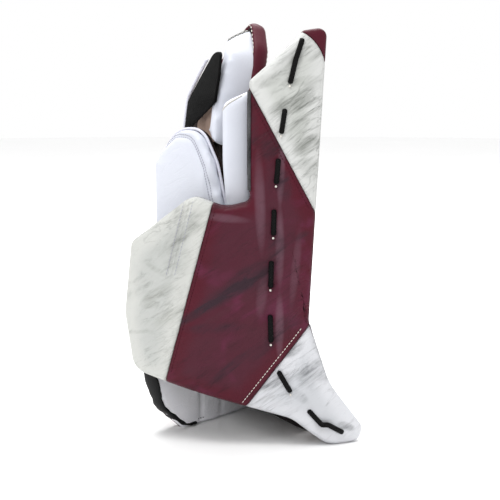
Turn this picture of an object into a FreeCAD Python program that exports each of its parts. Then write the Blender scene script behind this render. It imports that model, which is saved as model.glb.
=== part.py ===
"""Goalie catch glove for the left hand, standing upright on the edge of its cuff.

All sizes are in millimetres. While the pieces are made, the frame has +Z up, towards the fingertips,
+X towards the thumb's free edge and +Y from the thumb towards the little finger. At the end every piece
is shifted so that the origin is the centre of the bounding box's bottom.

The glove is two stiff walls that meet at a hinge line, the break:
- the near wall holds the thumb and the near wing of the cuff. It is drawn by its outline in X and Z, and
  it follows a plan curve in X and Y;
- the palm wall holds the palm, the fingers and the heel. It is drawn by its outline in U and Z, where U
  runs from the break to the little finger, and it follows a profile in Z and N, its forward normal.
The far wing of the cuff closes the ring round the wrist.
Depths are measured from a wall's outer face into the wall.
"""

import FreeCAD, Part
import math
import os

from FreeCAD import Matrix, Vector

# ---------------------------------------------------------------- overall sizes
THUMB_HEIGHT = 402.0
FINGER_HEIGHT = 407.0
CUFF_HEIGHT = 242.0
WING_HEIGHT = 190.0
CUFF_REACH = 120.0
TIP_REACH = 118.0
THUMB_LEFT = 4.0
THUMB_WIDTH = 74.0
WAIST_RIGHT = 62.0
WAIST_HEIGHT = 124.0
HEEL_RISE = 28.0
CUFF_DROP = 70.0
NOTCH_HEIGHT = 346.0
PALM_WIDTH = 146.0
FINGER_REACH = 168.0
SPLIT_HEIGHT = 236.0

# ---------------------------------------------------------------- walls and layers
LEATHER = 2.0
NEAR_CORE = 18.0
LINING = 2.0
PALM_CORE = 11.0
WING_CORE = 10.0
EDGE_WIDTH = 7.0
BINDING_WIDTH = 3.5
WING_BINDING_WIDTH = 5.0

# ---------------------------------------------------------------- shapes of the walls
NEAR_FACE_Y = -16.0
WING_CURL = 32.0
WING_CURL_START = -20.0
WING_CURL_SPAN = 100.0
TIP_CURL = 24.0
TIP_CURL_START = 40.0
TIP_CURL_SPAN = 78.0
BREAK_ANGLE = 118.0
BREAK_X = 30.0
BREAK_Y = 16.0
HEEL_FLARE = 62.0
HEEL_FLARE_HEIGHT = 120.0
FINGER_LEAN = 27.0
FINGER_LEAN_START = 240.0

# ---------------------------------------------------------------- the break
CLOSE_ANGLE = 30.0
LACE_CLEARANCE = 0.8
HINGE_OFFSET = 1.5
WEDGE_MARGIN = 16.0
GUSSET_LIFT = 4.0

# ---------------------------------------------------------------- outline and seams of the near wall
# Clockwise from the thumb's left shoulder, as X, Z and corner radius.
NEAR_OUTLINE = (
    (THUMB_LEFT, THUMB_HEIGHT - 50.0, 6.0),
    (THUMB_LEFT + THUMB_WIDTH - 21.0, THUMB_HEIGHT - 3.0, 7.0),
    (THUMB_LEFT + THUMB_WIDTH, THUMB_HEIGHT, 13.0),
    (WAIST_RIGHT, WAIST_HEIGHT, 14.0),
    (WAIST_RIGHT + 21.0, WAIST_HEIGHT / 2, 60.0),
    (TIP_REACH, 14.0, 9.0),
    (TIP_REACH - 5.0, 0.0, 9.0),
    (TIP_REACH - 36.0, 0.0, 24.0),
    (45.0, HEEL_RISE, 30.0),
    (14.0 - CUFF_REACH, CUFF_DROP, 14.0),
    (-CUFF_REACH - 1.0, CUFF_DROP + 60.0, 60.0),
    (8.0 - CUFF_REACH, CUFF_HEIGHT - 44.0, 8.0),
    (-52.0, CUFF_HEIGHT + 2.0, 14.0),
    (-18.0, CUFF_HEIGHT - 9.0, 30.0),
    (THUMB_LEFT + 0.5, CUFF_HEIGHT - 3.0, 6.0),
)
BINDING_LOW = CUFF_HEIGHT + 6.0
BINDING_HIGH = THUMB_HEIGHT - 56.0
# Seams as two X and Z points each.
THUMB_SEAM = ((THUMB_LEFT, NOTCH_HEIGHT), (66.0, 230.0))
WING_SEAM = ((-30.0, 240.0), (-77.0, 66.0))
HEEL_SEAM = ((60.0, 118.0), (2.0, 42.0))
CAP_RADIUS = 42.4
CAP_CENTRE_X = 33.5
CAP_DROP = 42.0

# ---------------------------------------------------------------- laces
LACE_DIAMETER = 4.4
LACE_SINK = 0.6
LACE_BEND = 3.0
LACE_STITCHES = (
    ((53.5, THUMB_HEIGHT - 10.5), (47.0, THUMB_HEIGHT - 30.5), (42.0, THUMB_HEIGHT - 52.5)),
    ((37.5, 326.5), (34.0, 303.0)),
    ((31.5, 280.0), (29.5, 256.0)),
    ((27.5, 232.0), (27.0, 207.0)),
    ((25.0, 183.0), (24.5, 157.0)),
    ((24.0, 131.0), (25.0, 104.0)),
    ((32.0, 76.0), (44.0, 55.0)),
    ((61.0, 37.0), (74.0, 20.5)),
    ((80.0, 22.5), (96.0, 11.5)),
)

# ---------------------------------------------------------------- outline of the palm wall
# As U, Z and corner radius, then the share of an inset that each corner takes in U and in Z.
CROTCH = SPLIT_HEIGHT - 12.0
PALM_OUTLINE = (
    (-HEEL_FLARE, 0.0, 0.0, 0.0, 0.0),
    (PALM_WIDTH, 0.0, 12.0, 0.0, 0.0),
    (PALM_WIDTH, WING_HEIGHT, 20.0, 0.0, 0.0),
    (PALM_WIDTH + 4.0, SPLIT_HEIGHT - 4.0, 20.0, -1.0, 0.0),
    (FINGER_REACH, FINGER_HEIGHT - 111.0, 24.0, -1.0, 0.0),
    (FINGER_REACH - 2.0, FINGER_HEIGHT - 78.0, 20.0, -1.0, -1.0),
    (105.0, FINGER_HEIGHT - 23.0, 40.0, 0.0, -1.0),
    (74.0, FINGER_HEIGHT + 2.0, 10.0, -0.25, -1.2),
    (50.0, FINGER_HEIGHT - 27.0, 16.0, 1.0, 0.0),
    (42.0, FINGER_HEIGHT - 67.0, 40.0, 1.0, 0.0),
    (38.0, SPLIT_HEIGHT + 26.0, 18.0, 1.0, 1.0),
    (10.0, CROTCH, 14.0, 0.0, 0.0),
    (-HEEL_FLARE, CROTCH, 0.0, 0.0, 0.0),
)
# The palm wall's edge beside the pocket, upwards, as U and Z.
POCKET_EDGE = (
    (14.0, SPLIT_HEIGHT - 8.0),
    (38.0, SPLIT_HEIGHT + 26.0),
    (42.0, FINGER_HEIGHT - 67.0),
    (50.0, FINGER_HEIGHT - 27.0),
    (74.0, FINGER_HEIGHT + 12.0),
)

# ---------------------------------------------------------------- thumb side, inside the hand space
ROLL_WIDTH = 22.0
ROLL_DEPTH = 24.0
ROLL_LOW = CUFF_HEIGHT - 16.0
ROLL_HIGH = THUMB_HEIGHT - 56.0
ROLL_BACK = NEAR_FACE_Y + LEATHER + NEAR_CORE + LINING
# Plan of the roll as X, Y and radius, and its outline from the side as X, Z and radius.
ROLL_PLAN = (
    (-ROLL_WIDTH, ROLL_BACK - 2.0, 0.0),
    (0.0, ROLL_BACK - 2.0, 0.0),
    (0.0, ROLL_BACK + ROLL_DEPTH, 8.0),
    (-ROLL_WIDTH, ROLL_BACK + ROLL_DEPTH, 9.0),
)
ROLL_OUTLINE = (
    (4.0 - ROLL_WIDTH, ROLL_LOW, 2.0),
    (4.0, ROLL_LOW, 0.0),
    (4.0, ROLL_HIGH + 4.0, 0.0),
    (2.0, ROLL_HIGH, 6.0),
    (-ROLL_WIDTH - 2.0, ROLL_HIGH - 17.0, 6.0),
    (-ROLL_WIDTH - 1.0, ROLL_HIGH - 60.0, 40.0),
)
STALL_WALL = 2.0
THUMB_STALL_WIDTH = 24.0
THUMB_STALL_DEPTH = 22.0
THUMB_STALL_LOW = 262.0
THUMB_STALL_LENGTH = 74.0
CLEARANCE = 0.4

# ---------------------------------------------------------------- back of the fingers
HAND_SPACE = 34.0
BACKHAND_THICKNESS = 3.0
BACKHAND_REACH = 108.0
BACKHAND_LOW = 295.0
INDEX_EDGE = 44.0
INDEX_PAD_FRONT = 60.0
INDEX_PAD_LOW = 288.0
# Outlines as U, Z and radius, and the pad's side as N, Z and radius.
BACKHAND_OUTLINE = (
    (INDEX_EDGE, BACKHAND_LOW + 26.0, 6.0),
    (BACKHAND_REACH, BACKHAND_LOW, 12.0),
    (BACKHAND_REACH, FINGER_HEIGHT - 80.0, 14.0),
    (INDEX_EDGE + 20.0, FINGER_HEIGHT - 27.0, 14.0),
    (INDEX_EDGE + 6.0, FINGER_HEIGHT - 27.0, 6.0),
    (INDEX_EDGE, FINGER_HEIGHT - 50.0, 20.0),
)
INDEX_PAD_OUTLINE = (
    (INDEX_EDGE, INDEX_PAD_LOW, 3.0),
    (INDEX_PAD_FRONT, INDEX_PAD_LOW, 6.0),
    (INDEX_PAD_FRONT, FINGER_HEIGHT - 67.0, 30.0),
    (INDEX_PAD_FRONT + 12.0, FINGER_HEIGHT - 29.0, 12.0),
    (INDEX_PAD_FRONT + 30.0, FINGER_HEIGHT - 6.0, 8.0),
    (72.0, FINGER_HEIGHT - 3.0, 8.0),
    (50.0, FINGER_HEIGHT - 29.0, 16.0),
    (INDEX_EDGE, FINGER_HEIGHT - 69.0, 30.0),
)
INDEX_PAD_SIDE = (
    (-53.0, INDEX_PAD_LOW, 14.0),
    (30.0, INDEX_PAD_LOW, 0.0),
    (50.0, FINGER_HEIGHT, 0.0),
    (0.0, FINGER_HEIGHT - 2.0, 8.0),
    (-24.0, FINGER_HEIGHT - 16.0, 14.0),
    (-35.0, FINGER_HEIGHT - 50.0, 60.0),
)
# Name, U range, Z range and depth.
FINGER_STALLS = (
    ("index_stall", 60.5, 80.0, 292.0, 350.0, 26.0),
    ("middle_stall", 82.0, 102.0, 292.0, 352.0, 24.0),
    ("ring_little_stall", 104.0, 134.0, 280.0, 322.0, 18.0),
)

# ---------------------------------------------------------------- far wing of the cuff, as X and Y
WING_FOOT = ((-104.0, 36.0), (-86.0, 50.0), (-62.0, 72.0), (-32.0, 107.0), (-6.0, 143.0), (14.0, 172.0))
WING_TOP = ((-104.0, 46.0), (-99.0, 72.0), (-88.0, 98.0), (-72.0, 118.0), (-52.0, 131.0), (-34.0, 146.0))
WING_LEFT = -103.0
WING_FOOT_START = -64.0
WING_BINDING_END = WING_FOOT_START + 14.0
# Outline seen from the near side as X, Z and radius, then the share of an inset in X and in Z.
WING_OUTLINE = (
    (WING_LEFT, 62.0, 24.0, 1.0, 0.0),
    (WING_LEFT + 10.0, 24.0, 22.0, 1.0, 1.0),
    (WING_FOOT_START, -8.0, 12.0, 1.0, 1.0),
    (120.0, -8.0, 0.0, 0.0, 1.0),
    (120.0, WING_HEIGHT + 1.0, 0.0, 0.0, 0.0),
    (WING_LEFT, WING_HEIGHT + 1.0, 0.0, 1.0, 0.0),
)

# ---------------------------------------------------------------- wrist guard
GUARD_CENTRE = (-54.0, 50.0)
GUARD_DIRECTION = (76.0, -50.0)
GUARD_THICKNESS = 18.0
GUARD_LOW = 198.0
GUARD_HEIGHT = 108.0
GUARD_LEFT = 39.0
GUARD_RIGHT = 42.0
GUARD_PIPING = 3.0
# Outline as place along the chord, Z and radius, then the share of an inset along the chord and in Z.
GUARD_OUTLINE = (
    (-GUARD_LEFT, GUARD_LOW, 6.0, 1.0, 1.0),
    (GUARD_RIGHT, GUARD_LOW, 8.0, -1.0, 1.0),
    (GUARD_RIGHT + 1.0, GUARD_LOW + 30.0, 20.0, -1.0, 0.0),
    (GUARD_RIGHT - 10.0, GUARD_LOW + 74.0, 50.0, -1.0, 0.0),
    (14.0, GUARD_LOW + GUARD_HEIGHT, 22.0, 0.0, -1.0),
    (-16.0, GUARD_LOW + GUARD_HEIGHT - 2.0, 26.0, 0.0, -1.0),
    (-GUARD_LEFT, GUARD_LOW + GUARD_HEIGHT - 32.0, 30.0, 1.0, -1.0),
)
BACK_BAND_HEIGHT = 30.0
BACK_BAND_THICKNESS = 4.0
GUARD_GAP = 4.0
GUARD_ROOM = 1.2

# ---------------------------------------------------------------- wrist strap
STRAP_WIDTH = 38.0
STRAP_MIDDLE = 120.0
STRAP_THICKNESS = 2.0
STRAP_SEWN = 96.0
STRAP_TAIL = 62.0
PATCH_THICKNESS = 1.8
PATCH_GAP = 0.3
FOLD_LAP = 6.0
FOLD_GAP = 2.0
FOLD_TURN = 4.0
TAIL_START = 7.0
LOOP_START = 8.0
LOOP_END = STRAP_SEWN - 4.0
LOOP_INSET = 3.0
HOOK_START = 12.0
HOOK_END = STRAP_TAIL - 2.0
HOOK_INSET = 4.0
RING_KNOT = 1
RING_WIRE = 3.0
RING_DEPTH = 17.0
RING_PLAY = 1.0
RING_CORNER = 4.0
RING_TAB = 9.0

# ---------------------------------------------------------------- pocket
WEB_LOW = SPLIT_HEIGHT - 8.0
WEB_MIDDLE = 305.0
WEB_STEPS = 4
WEB_DROP_THUMB = 20.0
WEB_DROP_INDEX = 44.0
WEB_BULGE = 22.0
WEB_THICKNESS = 3.0
T_THICKNESS = 11.0
T_BAR_HEIGHT = 22.0
T_STEM_SHARE = 0.2

BIG = 700.0
BREAK_GAP = LACE_DIAMETER - LACE_SINK + LACE_CLEARANCE
NEAR_TOTAL = LEATHER + NEAR_CORE + LINING
PALM_TOTAL = LEATHER + PALM_CORE + LINING
WING_TOTAL = LEATHER + WING_CORE + LINING
HAND_DEPTH = PALM_TOTAL + HAND_SPACE
STATION = 10.0
TINY = 0.001

UP = Vector(0, 0, 1)
BREAK_POINT = Vector(BREAK_X, BREAK_Y, 0)
U_AXIS = Vector(math.cos(math.radians(BREAK_ANGLE)), math.sin(math.radians(BREAK_ANGLE)), 0)
N_AXIS = Vector(U_AXIS.y, -U_AXIS.x, 0)


# ================================================================ frames and outlines
def frame(origin, x_axis, y_axis):
    """Placement whose local X and Y lie along two directions at right angles."""
    z_axis = x_axis.cross(y_axis)
    rows = Matrix(
        x_axis.x, y_axis.x, z_axis.x, origin.x,
        x_axis.y, y_axis.y, z_axis.y, origin.y,
        x_axis.z, y_axis.z, z_axis.z, origin.z,
        0, 0, 0, 1,
    )
    return FreeCAD.Placement(rows)


NEAR_VIEW = frame(Vector(0, 0, 0), Vector(1, 0, 0), UP)
PALM_VIEW = frame(BREAK_POINT, U_AXIS, UP)
PALM_SECTION = frame(BREAK_POINT, UP, N_AXIS)
PLAN = FreeCAD.Placement()


def placed(shape, placement):
    """Copy of a shape moved from a local frame into the glove's frame."""
    return shape.transformed(placement.toMatrix(), True)


def rounded(corners):
    """Closed wire in the XY plane through (x, y, radius) corners, each rounded by an arc."""
    edges = []
    count = len(corners)
    ends = []
    for i in range(count):
        before = Vector(*corners[i - 1][:2], 0)
        here = Vector(*corners[i][:2], 0)
        after = Vector(*corners[(i + 1) % count][:2], 0)
        back = before - here
        ahead = after - here
        half = back.getAngle(ahead) / 2
        room = 0.48 * min(back.Length, ahead.Length)
        reach = min(corners[i][2] / math.tan(half), room)
        if reach < TINY:
            ends.append((here, here))
            continue
        radius = reach * math.tan(half)
        middle = back.normalize() + ahead.normalize()
        middle.normalize()
        start = here + back * reach
        end = here + ahead * reach
        crown = here + middle * (radius / math.sin(half) - radius)
        edges.append((i, Part.Arc(start, crown, end).toShape()))
        ends.append((start, end))
    arcs = dict(edges)
    loop = []
    for i in range(count):
        if i in arcs:
            loop.append(arcs[i])
        start = ends[i][1]
        end = ends[(i + 1) % count][0]
        if (end - start).Length > TINY:
            loop.append(Part.makeLine(start, end))
    return Part.Wire(loop)


def prism(corners, placement, low=-BIG, high=BIG):
    """Solid of a rounded outline, extruded along a frame's local Z."""
    face = Part.Face(rounded(corners))
    face.translate(Vector(0, 0, low))
    return placed(face.extrude(Vector(0, 0, high - low)), placement)


def drawn_in(outline, inset):
    """Corners of an outline moved inwards by an inset, each by its own shares."""
    return [(x + inset * in_x, y + inset * in_y, radius) for x, y, radius, in_x, in_y in outline]


def box_region(x_low, x_high, y_low, y_high, placement, low=-BIG, high=BIG):
    """Prism of a plain rectangle in a frame."""
    corners = [(x_low, y_low, 0), (x_high, y_low, 0), (x_high, y_high, 0), (x_low, y_high, 0)]
    return prism(corners, placement, low, high)


def left_of(start, end, placement):
    """Everything on the left of a line through two points of a frame's XY plane."""
    first = Vector(start[0], start[1], 0)
    along = (Vector(end[0], end[1], 0) - first).normalize()
    side = Vector(-along.y, along.x, 0)
    corners = [
        first - along * BIG,
        first + along * BIG,
        first + along * BIG + side * BIG,
        first - along * BIG + side * BIG,
    ]
    return prism([(c.x, c.y, 0) for c in corners], placement)


# ================================================================ the near wall
def near_face_y(x):
    """Y of the near wall's outer face: flat in the middle, curling away at both ends."""
    if x < WING_CURL_START:
        return NEAR_FACE_Y + WING_CURL * ((WING_CURL_START - x) / WING_CURL_SPAN) ** 2
    if x > TIP_CURL_START:
        return NEAR_FACE_Y + TIP_CURL * ((x - TIP_CURL_START) / TIP_CURL_SPAN) ** 2
    return NEAR_FACE_Y


def offset_point(curve, s, depth, side):
    """Point of a plane curve (s, curve(s)), moved by depth along its normal, to the left if side is 1."""
    slope = (curve(s + TINY) - curve(s - TINY)) / (2 * TINY)
    length = math.hypot(1, slope)
    return Vector(s - side * depth * slope / length, curve(s) + side * depth / length, 0)


def near_point(x, z, depth):
    """Point inside the near wall, under the outer face's point at x and z."""
    return offset_point(near_face_y, x, depth, 1) + UP * z


def spline(points):
    """Smooth edge through a list of points."""
    curve = Part.BSplineCurve()
    curve.interpolate(points)
    return curve.toShape()


def stations(low, high):
    """Even steps from low to high, both included."""
    count = max(2, round((high - low) / STATION))
    return [low + (high - low) * i / count for i in range(count + 1)]


def layer_face(curve, low, high, front, back, side):
    """Face between two depths under a plane curve."""
    steps = stations(low, high)
    outer = [offset_point(curve, s, front, side) for s in steps]
    inner = [offset_point(curve, s, back, side) for s in steps]
    edges = [
        spline(outer),
        Part.makeLine(outer[-1], inner[-1]),
        spline(inner),
        Part.makeLine(inner[0], outer[0]),
    ]
    return Part.Face(Part.Wire(edges))


def near_layer(front, back):
    """Layer of the near wall between two depths, larger than its outline."""
    face = layer_face(near_face_y, -CUFF_REACH - 40, TIP_REACH + 30, front, back, 1)
    face.translate(UP * -STATION)
    return face.extrude(UP * (max(THUMB_HEIGHT, CUFF_HEIGHT) + 3 * STATION))


def near_pieces(lace):
    """Leather panels, core, lining and edge binding of the near wall, with the lace's holes."""
    outline = prism(NEAR_OUTLINE, NEAR_VIEW)
    edge = box_region(-BIG, THUMB_LEFT + BINDING_WIDTH, BINDING_LOW, BINDING_HIGH, NEAR_VIEW)
    skin = near_layer(0, LEATHER).common(outline).cut(edge)
    thumb_side = left_of(THUMB_SEAM[0], THUMB_SEAM[1], NEAR_VIEW)
    wing_side = left_of(WING_SEAM[1], WING_SEAM[0], NEAR_VIEW)
    heel_side = left_of(HEEL_SEAM[0], HEEL_SEAM[1], NEAR_VIEW)
    cap_height = THUMB_HEIGHT - CAP_DROP
    cap_zone = box_region(CAP_CENTRE_X, BIG, cap_height, BIG, NEAR_VIEW)
    circle = Part.makeCylinder(
        CAP_RADIUS, 2 * BIG, Vector(CAP_CENTRE_X, -BIG, cap_height), Vector(0, 1, 0)
    )
    cap = cap_zone.cut(circle)
    inner = near_layer(LEATHER, NEAR_TOTAL - LINING).common(outline).cut(edge)
    lining = near_layer(NEAR_TOTAL - LINING, NEAR_TOTAL).common(outline).cut(edge)
    binding = near_layer(0, NEAR_TOTAL).common(outline).common(edge)
    pieces = {
        "thumb_tip_cap": skin.common(cap),
        "thumb_face_panel": skin.common(thumb_side).cut(cap),
        "cuff_wing_panel": skin.common(wing_side),
        "heel_tip_panel": skin.common(heel_side),
        "cuff_main_panel": skin.cut(thumb_side).cut(wing_side).cut(heel_side),
        "thumb_cuff_core": inner,
        "thumb_cuff_lining": lining,
        "thumb_edge_binding": binding,
    }
    for name in pieces:
        if name != "thumb_edge_binding":
            pieces[name] = pieces[name].cut(lace)
    return pieces


def rounded_path(points, radius):
    """Wire of straight runs joined by tangent arcs, and its length."""
    edges = []
    start = points[0]
    for i in range(1, len(points) - 1):
        back = points[i - 1] - points[i]
        ahead = points[i + 1] - points[i]
        half = back.getAngle(ahead) / 2
        reach = min(radius / math.tan(half), 0.48 * min(back.Length, ahead.Length))
        bend = reach * math.tan(half)
        middle = Vector(back).normalize() + Vector(ahead).normalize()
        middle.normalize()
        arc_start = points[i] + Vector(back).normalize() * reach
        arc_end = points[i] + Vector(ahead).normalize() * reach
        crown = points[i] + middle * (bend / math.sin(half) - bend)
        edges.append(Part.makeLine(start, arc_start))
        edges.append(Part.Arc(arc_start, crown, arc_end).toShape())
        start = arc_end
    edges.append(Part.makeLine(start, points[-1]))
    return Part.Wire(edges)


def tube(points, diameter, bend):
    """Round cord along a route of straight runs and arcs."""
    path = rounded_path(points, bend)
    along = (points[1] - points[0]).normalize()
    ring = Part.Wire(Part.makeCircle(diameter / 2, points[0], along))
    return path.makePipeShell([ring], True, False)


def lace_route():
    """Points of the running stitch: out through the near wall, along its face and back in."""
    outside = LACE_SINK - LACE_DIAMETER / 2
    inside = NEAR_TOTAL - outside
    route = []
    for stitch in LACE_STITCHES:
        route.append(near_point(*stitch[0], inside))
        route.extend(near_point(*hole, outside) for hole in stitch)
        route.append(near_point(*stitch[-1], inside))
    first = LACE_STITCHES[0][0]
    last = LACE_STITCHES[-1][-1]
    tail = 3 * LACE_DIAMETER
    route.insert(0, near_point(first[0], first[1] - tail, inside))
    route.append(near_point(last[0] - tail, last[1], inside))
    return route


def lace_x(z):
    """X of the lace line at a height, from the stitches' ends."""
    holes = [hole for stitch in LACE_STITCHES for hole in (stitch[0], stitch[-1])]
    for (x_high, z_high), (x_low, z_low) in zip(holes, holes[1:]):
        if z >= z_low:
            share = (z - z_low) / (z_high - z_low)
            return x_low + (x_high - x_low) * share
    return holes[-1][0]


def near_side(depth):
    """Everything on the outer side of a depth in the near wall."""
    steps = stations(-CUFF_REACH - 60, TIP_REACH + 60)
    line = [offset_point(near_face_y, s, depth, 1) for s in steps]
    low = Vector(0, -BIG, 0)
    corners = [Vector(line[-1].x, low.y, 0), Vector(line[0].x, low.y, 0)]
    edges = [
        spline(line),
        Part.makeLine(line[-1], corners[0]),
        Part.makeLine(corners[0], corners[1]),
        Part.makeLine(corners[1], line[0]),
    ]
    face = Part.Face(Part.Wire(edges))
    face.translate(UP * -BIG)
    return face.extrude(UP * 2 * BIG)


# ================================================================ the palm wall
def palm_face_n(v):
    """Forward place of the palm wall's face: it flares out at the heel and leans over at the fingers."""
    if v < HEEL_FLARE_HEIGHT:
        return HEEL_FLARE * (1 - v / HEEL_FLARE_HEIGHT) ** 2
    if v > FINGER_LEAN_START:
        return FINGER_LEAN * ((v - FINGER_LEAN_START) / (FINGER_HEIGHT - FINGER_LEAN_START)) ** 2
    return 0.0


def palm_point(u, v, depth):
    """Point inside the palm wall, under the face's point at u and v."""
    section = offset_point(palm_face_n, v, depth, -1)
    return BREAK_POINT + U_AXIS * u + N_AXIS * section.y + UP * section.x


def palm_layer(front, back):
    """Layer of the palm wall between two depths, larger than its outline."""
    face = layer_face(palm_face_n, -2 * STATION, FINGER_HEIGHT + 2 * STATION, front, back, -1)
    face.translate(UP * -BIG / 2)
    return placed(face.extrude(UP * BIG), PALM_SECTION)


def palm_front(depth):
    """Everything in front of a depth in the palm wall."""
    steps = stations(-2 * STATION, FINGER_HEIGHT + 2 * STATION)
    line = [offset_point(palm_face_n, s, depth, -1) for s in steps]
    corners = [Vector(line[-1].x, BIG, 0), Vector(line[0].x, BIG, 0)]
    edges = [
        spline(line),
        Part.makeLine(line[-1], corners[0]),
        Part.makeLine(corners[0], corners[1]),
        Part.makeLine(corners[1], line[0]),
    ]
    face = Part.Face(Part.Wire(edges))
    face.translate(UP * -BIG)
    return placed(face.extrude(UP * 2 * BIG), PALM_SECTION)


def hinge_point():
    """Where the closing hinge's axis stands: just inside the near wall, on the palm's face."""
    y = NEAR_FACE_Y + NEAR_TOTAL + HINGE_OFFSET
    x = BREAK_X + (BREAK_Y - y) * -U_AXIS.x / U_AXIS.y
    return Vector(x, y, 0)


def closing_wedge():
    """Space in front of the palm that the near wall sweeps when the glove closes."""
    centre = hinge_point()
    turn = math.radians(CLOSE_ANGLE + WEDGE_MARGIN)
    corners = [(centre.x, centre.y, 0)]
    corners.append((centre.x + BIG, centre.y - BIG / 4, 0))
    corners.append((centre.x + BIG, centre.y, 0))
    corners.append((centre.x + BIG * math.cos(turn), centre.y + BIG * math.sin(turn), 0))
    return prism(corners, PLAN)


def palm_pieces():
    """Leather, core and lining of the palm and the fingers, the rolled edge and the heel gusset."""
    wall = prism(drawn_in(PALM_OUTLINE, 0), PALM_VIEW)
    field = prism(drawn_in(PALM_OUTLINE, EDGE_WIDTH), PALM_VIEW)
    wedge = closing_wedge()
    near = near_side(NEAR_TOTAL + BREAK_GAP)
    below = box_region(-BIG, BIG, -BIG, SPLIT_HEIGHT, PALM_VIEW)
    above = box_region(-BIG, BIG, SPLIT_HEIGHT, BIG, PALM_VIEW)
    low_wall = wall.common(below).cut(wedge).cut(near)
    high_wall = field.common(above)
    depths = (0, LEATHER, LEATHER + PALM_CORE, PALM_TOTAL)
    layers = [palm_layer(front, back) for front, back in zip(depths, depths[1:])]
    rim = wall.common(above).cut(field)
    gusset = palm_layer(0, 2 * LEATHER).common(wall).common(wedge)
    floor = box_region(-BIG, BIG, GUSSET_LIFT, HEEL_FLARE_HEIGHT - 4, PALM_VIEW)
    return {
        "palm_leather": layers[0].common(low_wall),
        "palm_core": layers[1].common(low_wall),
        "palm_lining": layers[2].common(low_wall),
        "finger_leather": layers[0].common(high_wall),
        "finger_core": layers[1].common(high_wall),
        "finger_lining": layers[2].common(high_wall),
        "finger_edge_roll": palm_layer(0, PALM_TOTAL).common(rim),
        "heel_gusset": gusset.common(floor).cut(near_side(NEAR_TOTAL)),
    }


def break_web(lace):
    """Soft strip of leather that joins the near wall to the palm's edge."""
    strip = near_layer(NEAR_TOTAL, NEAR_TOTAL + BREAK_GAP)
    height = box_region(-BIG, BIG, HEEL_FLARE_HEIGHT, SPLIT_HEIGHT - 14, PALM_VIEW)
    return strip.common(palm_layer(0, 2 * LEATHER)).common(height).cut(lace)


def finger_stall(u_low, u_high, low, high, depth):
    """Fabric tube for a finger on the palm's back, open at the bottom."""
    outside = palm_layer(PALM_TOTAL, PALM_TOTAL + depth)
    sleeve = outside.common(box_region(u_low, u_high, low, high, PALM_VIEW))
    inside = palm_layer(PALM_TOTAL + STALL_WALL, PALM_TOTAL + depth - STALL_WALL)
    bore = box_region(
        u_low + STALL_WALL, u_high - STALL_WALL, low - STATION, high - STALL_WALL, PALM_VIEW
    )
    return sleeve.cut(inside.common(bore))


def index_pad():
    """Thick pad along the index finger's side, from the palm's lining to the backhand panel."""
    band = prism(INDEX_PAD_OUTLINE, PALM_VIEW)
    side = prism(INDEX_PAD_SIDE, frame(BREAK_POINT, N_AXIS, UP))
    return palm_layer(PALM_TOTAL, HAND_DEPTH).common(band).common(side)


def back_pieces():
    """Pieces on the back of the fingers."""
    outline = prism(BACKHAND_OUTLINE, PALM_VIEW)
    panel = palm_layer(HAND_DEPTH, HAND_DEPTH + BACKHAND_THICKNESS).common(outline)
    rim = box_region(BACKHAND_REACH - BINDING_WIDTH, BIG, -BIG, BIG, PALM_VIEW)
    pieces = {
        "index_side_pad": index_pad(),
        "backhand_panel": panel.cut(rim),
        "backhand_piping": panel.common(rim),
    }
    for name, u_low, u_high, low, high, depth in FINGER_STALLS:
        pieces[name] = finger_stall(u_low, u_high, low, high, depth)
    beside = FINGER_STALLS[0][1] - CLEARANCE
    index = box_region(beside, BIG, -BIG, FINGER_STALLS[0][4] + CLEARANCE, PALM_VIEW)
    pieces["index_side_pad"] = pieces["index_side_pad"].cut(index)
    return pieces


# ================================================================ thumb side of the hand space
def thumb_roll():
    """Padded roll over the back of the thumb, on the near wall's inner side."""
    post = prism(ROLL_PLAN, PLAN, 0, THUMB_HEIGHT)
    return post.common(prism(ROLL_OUTLINE, NEAR_VIEW)).cut(near_side(NEAR_TOTAL))


def thumb_stall():
    """Fabric sleeve for the thumb, open at the bottom."""
    corner = Vector(STALL_WALL, ROLL_BACK, THUMB_STALL_LOW)
    sleeve = Part.makeBox(THUMB_STALL_WIDTH, THUMB_STALL_DEPTH, THUMB_STALL_LENGTH, corner)
    bore = Part.makeBox(
        THUMB_STALL_WIDTH - 2 * STALL_WALL,
        THUMB_STALL_DEPTH - 2 * STALL_WALL,
        THUMB_STALL_LENGTH - STALL_WALL,
        corner + Vector(STALL_WALL, STALL_WALL, -TINY),
    )
    return sleeve.cut(bore)


# ================================================================ far wing of the cuff
def wing_wire(points, front, back, height):
    """Closed wire between two depths of the far wing's plan curve, at one height."""
    curve = Part.BSplineCurve()
    curve.interpolate([Vector(x, y, 0) for x, y in points])
    outer = []
    inner = []
    for x, y in points:
        tangent = curve.tangent(curve.parameter(Vector(x, y, 0)))[0]
        inward = Vector(tangent.y, -tangent.x, 0)
        outer.append(Vector(x, y, height) + inward * front)
        inner.append(Vector(x, y, height) + inward * back)
    edges = [
        spline(outer),
        Part.makeLine(outer[-1], inner[-1]),
        spline(inner),
        Part.makeLine(inner[0], outer[0]),
    ]
    return Part.Wire(edges)


def wing_layer(front, back):
    """Layer of the far wing between two depths, cut off at the palm wall's back."""
    foot = wing_wire(WING_FOOT, front, back, 0)
    top = wing_wire(WING_TOP, front, back, WING_HEIGHT)
    wall = Part.makeLoft([foot, top], True, True)
    return wall.cut(palm_front(PALM_TOTAL))


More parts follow.
